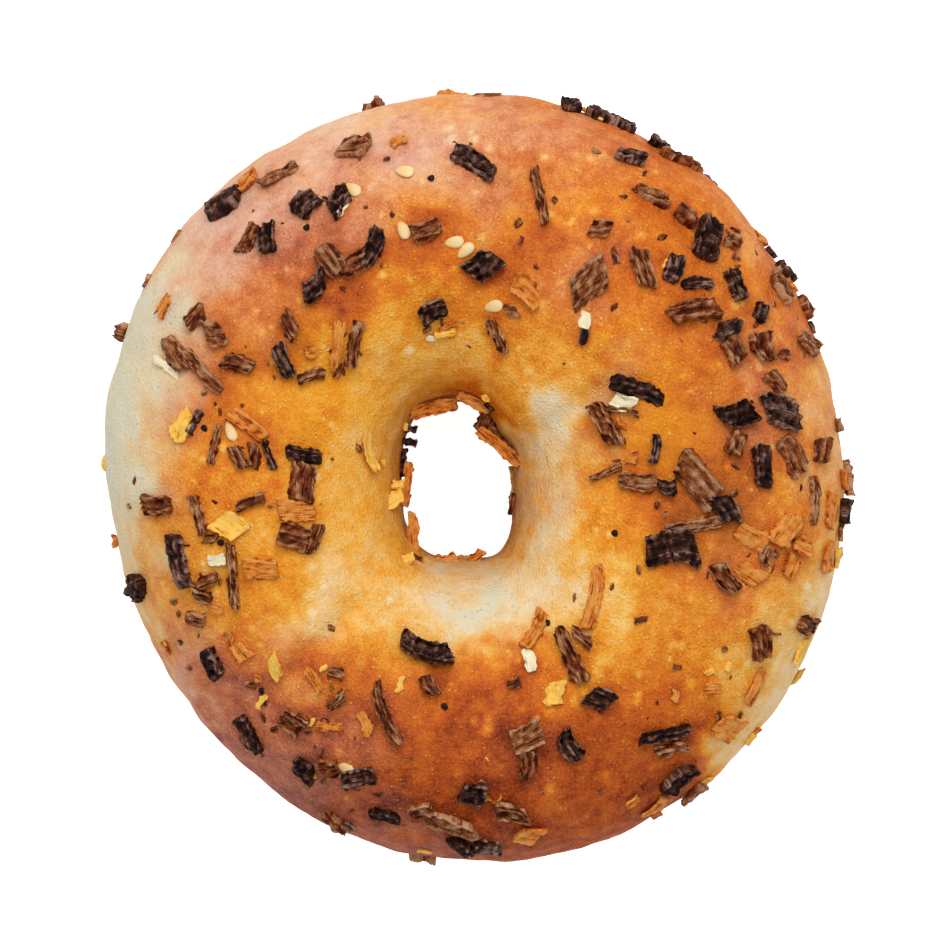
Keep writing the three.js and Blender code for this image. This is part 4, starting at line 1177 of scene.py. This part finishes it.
def flake_material(name, colour, lightness, edge_lightness, whitening, crinkle_depth):
    """Toasted onion: painted highlight on the folds' ridges and painted shade between them, broken up by
    crinkles, fine fibres along the grain and light specks. Each flake has a tone of its own."""
    material, tree, shader = new_material(name, 0.45, coat=0.1, coat_roughness=0.25)
    grain = read_attribute(tree, "grain", "Vector")
    along = add_node(tree, "ShaderNodeMapping", {"Scale": FIBRE_STRETCH})
    tree.links.new(grain, along.inputs["Vector"])
    texture = {"Detail": 3.0, "Roughness": 0.75}
    fibres = add_node(tree, "ShaderNodeTexNoise", dict(texture, Scale=FIBRE_SCALE, Distortion=0.6))
    tree.links.new(along.outputs["Vector"], fibres.inputs["Vector"])
    crinkle = add_node(tree, "ShaderNodeTexNoise", dict(texture, Scale=CRINKLE_SCALE))
    tree.links.new(grain, crinkle.inputs["Vector"])
    specks = use_group(tree, pimple_group(), {"Scale": SPECK_SCALE}, grain)
    off_ridge = add_maths(tree, "ABSOLUTE", add_maths(tree, "SUBTRACT", fibres.outputs["Fac"], 0.5))
    ridge = weighed_sum(tree, [(off_ridge, -RIDGE_SHARPNESS)], 1.0, True)
    height = weighed_sum(tree, [
        (ridge, RIDGE_WEIGHT), (fibres.outputs["Fac"], FIBRE_WEIGHT),
        (crinkle.outputs["Fac"], CRINKLE_WEIGHT), (specks, SPECK_WEIGHT),
    ])
    level = weighed_sum(tree, [
        (height, 1.0), (read_attribute(tree, "relief"), FOLD_PAINTED_LIGHT_WEIGHT),
        (read_attribute(tree, "tone"), TONE_WEIGHT), (read_attribute(tree, "edge"), edge_lightness),
    ], lightness - LEVEL_OFFSET, True)
    shade = add_ramp(tree, level, [
        (0.0, toned(colour, 1.7, 0.4)),
        (0.25, toned(colour, 1.2, 0.75)),
        (0.5, toned(colour, 1.0)),
        (0.75, toned(colour, 0.5 + 0.5 * whitening)),
        (1.0, toned(colour, whitening)),
    ])
    tree.links.new(shade, shader.inputs["Base Color"])
    join_bump(tree, shader, height, crinkle_depth * MM)
    return material


# A seed's hull: fineness of its mottling and grain for each mm, depth of the grain in metres, and
# the tip colour's level at the middle and how fast it falls along the seed
HULL_MOTTLE_SCALE = 1.4
HULL_GRAIN_SCALE = 1.2
HULL_GRAIN_DEPTH = 0.1 * MM
HULL_TIP_LEVEL = 0.35
HULL_TIP_WEIGHT = 0.9
# Width of a poppy seed as a share of its length
POPPY_ROUNDNESS = 0.85


def seed_material(name, body, tip, roughness):
    """A seed's hull: body colour turning to the tip colour towards its narrow end, finely grained."""
    material, tree, shader = new_material(name, roughness, coat=0.1)
    grain = read_attribute(tree, "grain", "Vector")
    shift = use_group(tree, mottle_group(), {"Scale": HULL_MOTTLE_SCALE, "Amount": 0.5}, grain)
    level = weighed_sum(tree, [
        (read_attribute(tree, "share"), -HULL_TIP_WEIGHT), (shift, 1.0),
    ], HULL_TIP_LEVEL, True)
    tree.links.new(mix_colours(tree, level, body, tip), shader.inputs["Base Color"])
    height = use_group(tree, pore_group(), {"Scale": HULL_GRAIN_SCALE}, grain)
    join_bump(tree, shader, height, HULL_GRAIN_DEPTH, 0.5)
    return material


def colour_property(name, description, colour):
    """A colour setting."""
    return bpy.props.FloatVectorProperty(
        name=name, description=description, default=srgb(*colour), size=4, min=0.0, max=1.0,
        subtype="COLOR")


def share_property(name, description, default, least=0.0, most=1.0):
    """A setting without a unit."""
    return bpy.props.FloatProperty(
        name=name, description=description, default=default, min=least, max=most, subtype="FACTOR")


def length_property(name, description, default, least=0.0):
    """A length in metres."""
    return bpy.props.FloatProperty(
        name=name, description=description, default=default, min=least, unit="LENGTH")


def count_property(name, description, default, least, most):
    """A whole number."""
    return bpy.props.IntProperty(
        name=name, description=description, default=default, min=least, max=most, subtype="UNSIGNED")


class BAGEL_PG_crust(bpy.types.PropertyGroup):
    """Settings of the browned skin"""

    steps_round_ring: count_property("Steps round ring", "Grid steps round the hole", 440, 64, 700)
    steps_over_top: count_property(
        "Steps over top", "Grid steps from the rim over the crest to the hole's waist", 156, 24, 300)
    steps_under: count_property("Steps under", "Grid steps of the underside", 66, 16, 200)
    blister_height: length_property("Blister height", "Height of the round blisters", 0.16 * MM)
    pore_depth: length_property("Pore depth", "Depth of the fine grain of the skin", 0.22 * MM)
    bake_shift: share_property("Bake", "Darker or lighter bake of the whole skin", 0.0, -0.5, 0.5)
    mottling: share_property("Mottling", "Unevenness of the browning over some millimetres", 0.36)
    speckling: share_property("Speckling", "Unevenness of the browning in fine specks", 0.28)
    graining: share_property("Graining", "Unevenness of the browning at a third of a millimetre", 0.45)
    # Paler specks of the skin, partly painted glints
    pimple_paleness_and_glints: share_property("Pimple lightness", "How much paler the pimples are", 0.22)
    # The skin round the flakes is darker by stains and by painted shade
    staining_and_shade: share_property("Staining", "How much darker the skin is round the flakes", 0.15)
    roughness: share_property("Roughness", "Roughness of the skin", 0.5)
    gloss: share_property("Gloss", "Weight of the thin shine left by boiling before baking", 0.02)
    pale_colour: colour_property("Pale", "Skin that took no colour", (246, 216, 170))
    cream_colour: colour_property("Cream", "Lightly baked skin", (246, 192, 98))
    golden_colour: colour_property("Golden", "Golden skin", (238, 156, 44))
    orange_colour: colour_property("Orange-brown", "Well baked skin", (220, 118, 34))
    brown_colour: colour_property("Brown", "Dark baked skin", (188, 84, 28))
    dark_colour: colour_property("Darkest", "Skin at the darkest places", (122, 44, 18))
    pink_pale_colour: colour_property("Pink pale", "Pale blushed skin", (236, 202, 176))
    # The colours from pink pale to dark mauve tint the painted sheen of the soft light on the browned
    # skin
    pink_colour: colour_property("Pink", "Lightly baked blushed skin", (226, 166, 138))
    rose_brown_colour: colour_property("Rose-brown", "Baked blushed skin", (200, 120, 90))
    mauve_colour: colour_property("Mauve", "Dark blushed skin", (150, 86, 72))
    dark_mauve_colour: colour_property("Dark mauve", "Darkest blushed skin", (92, 48, 42))
    # The raw colour also paints light at two spots: south of the hole and on the lower right rim
    raw_colour: colour_property("Raw", "Unbaked skin", (220, 216, 190))
    # Colour of the painted shade in the hole
    painted_wall_shade_colour: colour_property("Wall", "Shade that the skin takes in the hole", (212, 184, 142))
    yellow_colour: colour_property("Yellow", "Clear golden skin", (240, 170, 24))


class BAGEL_PG_toppings(bpy.types.PropertyGroup):
    """Settings of the flakes, seeds and crumbs"""

    crumb_count: count_property("Crumbs", "Number of loose crumbs of flake", 240, 0, 2000)
    sesame_length: length_property("Sesame length", "Length of a sesame seed", 3.1 * MM, MM)
    sesame_width: length_property("Sesame width", "Width of a sesame seed", 1.85 * MM, MM)
    poppy_length: length_property("Poppy length", "Length of a poppy seed", 1.2 * MM, 0.1 * MM)
    char_colour: colour_property("Charred", "Charred flakes", (82, 42, 28))
    brown_colour: colour_property("Brown", "Brown flakes", (156, 80, 36))
    amber_colour: colour_property("Amber", "Amber flakes", (240, 138, 48))
    pale_colour: colour_property("Pale", "Pale flakes", (255, 186, 66))
    white_colour: colour_property("White", "Flakes that took no colour", (255, 240, 200))
    sesame_colour: colour_property("Sesame", "Sesame seeds", (240, 214, 160))
    poppy_colour: colour_property("Poppy", "Poppy seeds", (24, 12, 10))


class BAGEL_PG_stage(bpy.types.PropertyGroup):
    """Settings of the floor, the light and the camera"""

    camera_distance: length_property("Camera distance", "Height of the camera above the rim", 1.5, 0.3)
    view_width: length_property(
        "View width", "Width that the picture spans at the rim's height", 0.1426, 0.02)
    sky_strength: bpy.props.FloatProperty(
        name="Sky strength", description="Strength of the even light from all round", default=0.6,
        min=0.0, subtype="UNSIGNED")
    key_power: bpy.props.FloatProperty(
        name="Key light", description="Power of the large soft light", default=6.8, min=0.0,
        unit="POWER")
    floor_glow: bpy.props.FloatProperty(
        name="Floor glow", description="Light that the pale sheet gives off by itself",
        default=0.9, min=0.0, subtype="UNSIGNED")
    floor_colour: colour_property("Floor", "Pale sheet that the bagel lies on", (250, 250, 250))


class BAGEL_OT_crust(bpy.types.Operator):
    """Make the browned skin of the ring"""

    bl_idname = "bagel.make_crust"
    bl_label = "Make crust"

    def execute(self, context):
        make_crust(context.scene.bagel_crust)
        return {"FINISHED"}


class BAGEL_OT_flakes(bpy.types.Operator):
    """Make the onion flakes, one piece for each of five kinds"""

    bl_idname = "bagel.make_flakes"
    bl_label = "Make onion flakes"

    def execute(self, context):
        make_flakes(context.scene.bagel_toppings)
        return {"FINISHED"}


class BAGEL_OT_seeds(bpy.types.Operator):
    """Make the sesame and poppy seeds"""

    bl_idname = "bagel.make_seeds"
    bl_label = "Make seeds"

    def execute(self, context):
        make_seeds(context.scene.bagel_toppings)
        return {"FINISHED"}


class BAGEL_OT_crumbs(bpy.types.Operator):
    """Make the fine crumbs between the flakes"""

    bl_idname = "bagel.make_crumbs"
    bl_label = "Make crumbs"

    def execute(self, context):
        make_crumbs(context.scene.bagel_toppings)
        return {"FINISHED"}


class BAGEL_OT_stage(bpy.types.Operator):
    """Make the pale floor, the soft light and the camera"""

    bl_idname = "bagel.make_stage"
    bl_label = "Make stage"

    def execute(self, context):
        make_stage(context.scene.bagel_stage)
        return {"FINISHED"}


TOPPING_OPERATORS = ("bagel.make_flakes", "bagel.make_seeds", "bagel.make_crumbs")


class BAGEL_PT_panel(bpy.types.Panel):
    """Buttons and settings of the bagel's pieces"""

    bl_idname = "BAGEL_PT_panel"
    bl_label = "Onion bagel"
    bl_space_type = "VIEW_3D"
    bl_region_type = "UI"
    bl_category = "Bagel"

    def draw(self, context):
        layout = self.layout
        for settings, operators in (
            (context.scene.bagel_crust, ("bagel.make_crust",)),
            (context.scene.bagel_toppings, TOPPING_OPERATORS),
            (context.scene.bagel_stage, ("bagel.make_stage",)),
        ):
            box = layout.box()
            for label in settings.__annotations__:
                box.prop(settings, label)
            for operator in operators:
                box.operator(operator)


def put_batches(name, batches, material):
    """One piece from several batches of chips: chips, style and the seed of their draws."""
    start = 0
    points, faces, floats, grains = [], [], {}, []
    for chips, style, seed in batches:
        batch_points, batch_faces, batch_floats, batch_vectors = chip_mesh(chips, style, seed)
        points.append(batch_points)
        faces.append(batch_faces + start)
        grains.append(batch_vectors[0][1])
        for label, values in batch_floats:
            floats.setdefault(label, []).append(values)
        start += len(batch_points)
    joined = [(label, np.concatenate(values)) for label, values in floats.items()]
    grain = [("grain", np.concatenate(grains))]
    return put_mesh(name, np.concatenate(points), np.concatenate(faces), material, joined, grain)


def by_size(chips, large_style, seed):
    """Batches of the large chips in their own style and the small ones with few facets."""
    large = chips["length"] * chips["width"] >= LARGE_CHIP_AREA
    return [
        (picked_chips(chips, large), large_style, seed),
        (picked_chips(chips, ~large), SMALL_CHIP, seed + 1),
    ]


def make_flakes(settings):
    """The onion flakes in five pieces by how far they are toasted. Those that the top view hides
    are shared out among the middle three kinds. Each row: name, list, style, seed of its draws
    and colour."""
    spread = spread_chips()
    order = np.arange(len(spread["ring"]))
    shared = [picked_chips(spread, order % 3 == kind) for kind in range(3)]
    kinds = [
        ("char_flakes", CHAR_FLAKES, LARGE_CHIP, 21, settings.char_colour),
        ("brown_flakes", BROWN_FLAKES, LARGE_CHIP, 31, settings.brown_colour),
        ("amber_flakes", AMBER_FLAKES, THIN_CHIP, 41, settings.amber_colour),
        ("pale_flakes", PALE_FLAKES, THIN_CHIP, 51, settings.pale_colour),
        ("white_flakes", WHITE_FLAKES, THIN_CHIP, 55, settings.white_colour),
    ]
    for number, (name, rows, style, seed, colour) in enumerate(kinds):
        chips = listed_chips(rows)
        if 0 < number < 4:
            chips = joined_chips(chips, shared[number - 1])
        material = flake_material(name.replace("_", " "), colour, *FLAKE_LOOKS[name])
        batches = by_size(chips, style, seed)
        if name in HOLE_FLAKES:
            batches.append((free_chips(HOLE_FLAKES[name]), THIN_CHIP, seed + 2))
        put_batches(name, batches, material)


def make_seeds(settings):
    """The sesame seeds and the poppy seeds, each kind one piece."""
    rows = [(x, y, settings.sesame_length / MM, settings.sesame_width / MM, turn)
            for x, y, turn in SESAME_SEEDS]
    body = settings.sesame_colour
    material = seed_material("sesame hull", body, toned(body, 2.0), 0.4)
    put_batches("sesame_seeds", [(listed_chips(rows), SESAME_SHAPE, 61)], material)
    length = settings.poppy_length / MM
    rows = [(x, y, length, POPPY_ROUNDNESS * length, 0.0) for x, y in POPPY_SEEDS]
    body = settings.poppy_colour
    material = seed_material("poppy hull", body, toned(body, 0.8), 0.45)
    put_batches("poppy_seeds", [(listed_chips(rows), POPPY_SHAPE, 71)], material)


def make_crumbs(settings):
    """Crumbs that fell off the flakes: each lies a drawn distance from a drawn flake."""
    draw = np.random.default_rng(CRUMB_SEED)
    flakes = np.array(CHAR_FLAKES + BROWN_FLAKES + AMBER_FLAKES + PALE_FLAKES, dtype=float)
    near = flakes[draw.integers(0, len(flakes), settings.crumb_count)]
    away = draw.normal(0.0, CRUMB_SPREAD, (settings.crumb_count, 2))
    length = draw.uniform(*CRUMB_LENGTHS, settings.crumb_count)
    width = length * draw.uniform(*CRUMB_SLIMNESS, settings.crumb_count)
    turn = draw.uniform(0.0, 180.0, settings.crumb_count)
    rows = np.column_stack((near[:, 0] + away[:, 0], near[:, 1] + away[:, 1], length, width, turn))
    radius = np.hypot(rows[:, 0], rows[:, 1])
    rows = rows[(radius > CRUMB_RADII[0]) & (radius < CRUMB_RADII[1])]
    material = flake_material("onion crumbs", settings.brown_colour, *CRUMB_LOOK)
    put_batches("crumbs", [(listed_chips(rows), CRUMB_SHAPE, 91)], material)


# Stage: half-width of the floor, its gap under the foot, side and place of the large soft light, m
FLOOR_HALF_WIDTH = 1.5
FLOOR_GAP = 0.05 * MM
LAMP_SIZE = 0.7
LAMP_PLACE = (0.02, 0.55, 0.92)
WHITE = (1.0, 1.0, 1.0, 1.0)
BLACK = (0.0, 0.0, 0.0, 1.0)


def make_floor(settings):
    """A pale sheet that shows itself to the camera as evenly lit, under the foot."""
    half = FLOOR_HALF_WIDTH
    mesh = bpy.data.meshes.new("floor")
    corners = [(-half, -half, 0.0), (half, -half, 0.0), (half, half, 0.0), (-half, half, 0.0)]
    mesh.from_pydata(corners, [], [(0, 1, 2, 3)])
    material, tree, shader = new_material("pale sheet", 0.9)
    grain = use_group(tree, mottle_group(), {"Scale": 300.0, "Amount": 0.02}, object_place(tree))
    sheet = mix_colours(tree, grain, settings.floor_colour, WHITE)
    tree.links.new(sheet, shader.inputs["Base Color"])
    seen = add_node(tree, "ShaderNodeLightPath").outputs["Is Camera Ray"]
    tree.links.new(mix_colours(tree, seen, BLACK, WHITE), shader.inputs["Emission Color"])
    shader.inputs["Emission Strength"].default_value = settings.floor_glow
    mesh.materials.append(material)
    floor = bpy.data.objects.new("floor", mesh)
    floor.location.z = -FLOOR_GAP
    bpy.context.scene.collection.objects.link(floor)


def make_stage(settings):
    """Pale floor under the foot, even light from all round with one large soft light, and a camera
    that looks straight down on the middle of the picture."""
    make_floor(settings)
    world = bpy.data.worlds.new("even light")
    world.use_nodes = True
    sky = world.node_tree.nodes["Background"]
    sky.inputs["Color"].default_value = WHITE
    sky.inputs["Strength"].default_value = settings.sky_strength
    bpy.context.scene.world = world

    light = bpy.data.lights.new("large soft light", "AREA")
    light.shape = "SQUARE"
    light.size = LAMP_SIZE
    light.energy = settings.key_power
    lamp = bpy.data.objects.new("large soft light", light)
    lamp.location = LAMP_PLACE
    lamp.rotation_mode = "QUATERNION"
    lamp.rotation_quaternion = (-Vector(lamp.location)).to_track_quat("-Z", "Y")
    bpy.context.scene.collection.objects.link(lamp)

    lens = bpy.data.cameras.new("camera")
    lens.lens = lens.sensor_width * settings.camera_distance / settings.view_width
    lens.clip_start = 0.01
    camera = bpy.data.objects.new("camera", lens)
    rim = RIM_HEIGHT * MM
    camera.location = (*(value * MM for value in VIEW_CENTRE), settings.camera_distance + rim)
    bpy.context.scene.collection.objects.link(camera)
    bpy.context.scene.camera = camera
    bpy.context.scene.view_settings.view_transform = "Standard"


CLASSES = (
    BAGEL_PG_crust, BAGEL_PG_toppings, BAGEL_PG_stage, BAGEL_OT_crust, BAGEL_OT_flakes,
    BAGEL_OT_seeds, BAGEL_OT_crumbs, BAGEL_OT_stage, BAGEL_PT_panel,
)


def register():
    """Registers the classes and hangs the settings on the scene."""
    for kind in CLASSES:
        bpy.utils.register_class(kind)
    bpy.types.Scene.bagel_crust = bpy.props.PointerProperty(type=BAGEL_PG_crust)
    bpy.types.Scene.bagel_toppings = bpy.props.PointerProperty(type=BAGEL_PG_toppings)
    bpy.types.Scene.bagel_stage = bpy.props.PointerProperty(type=BAGEL_PG_stage)


def unregister():
    """Takes the settings and the classes away again."""
    del bpy.types.Scene.bagel_crust
    del bpy.types.Scene.bagel_toppings
    del bpy.types.Scene.bagel_stage
    for kind in reversed(CLASSES):
        bpy.utils.unregister_class(kind)


def main():
    """Builds every piece and the stage."""
    register()
    bpy.ops.bagel.make_crust()
    bpy.ops.bagel.make_flakes()
    bpy.ops.bagel.make_seeds()
    bpy.ops.bagel.make_crumbs()
    bpy.ops.bagel.make_stage()


if __name__ == "__main__":
    main()
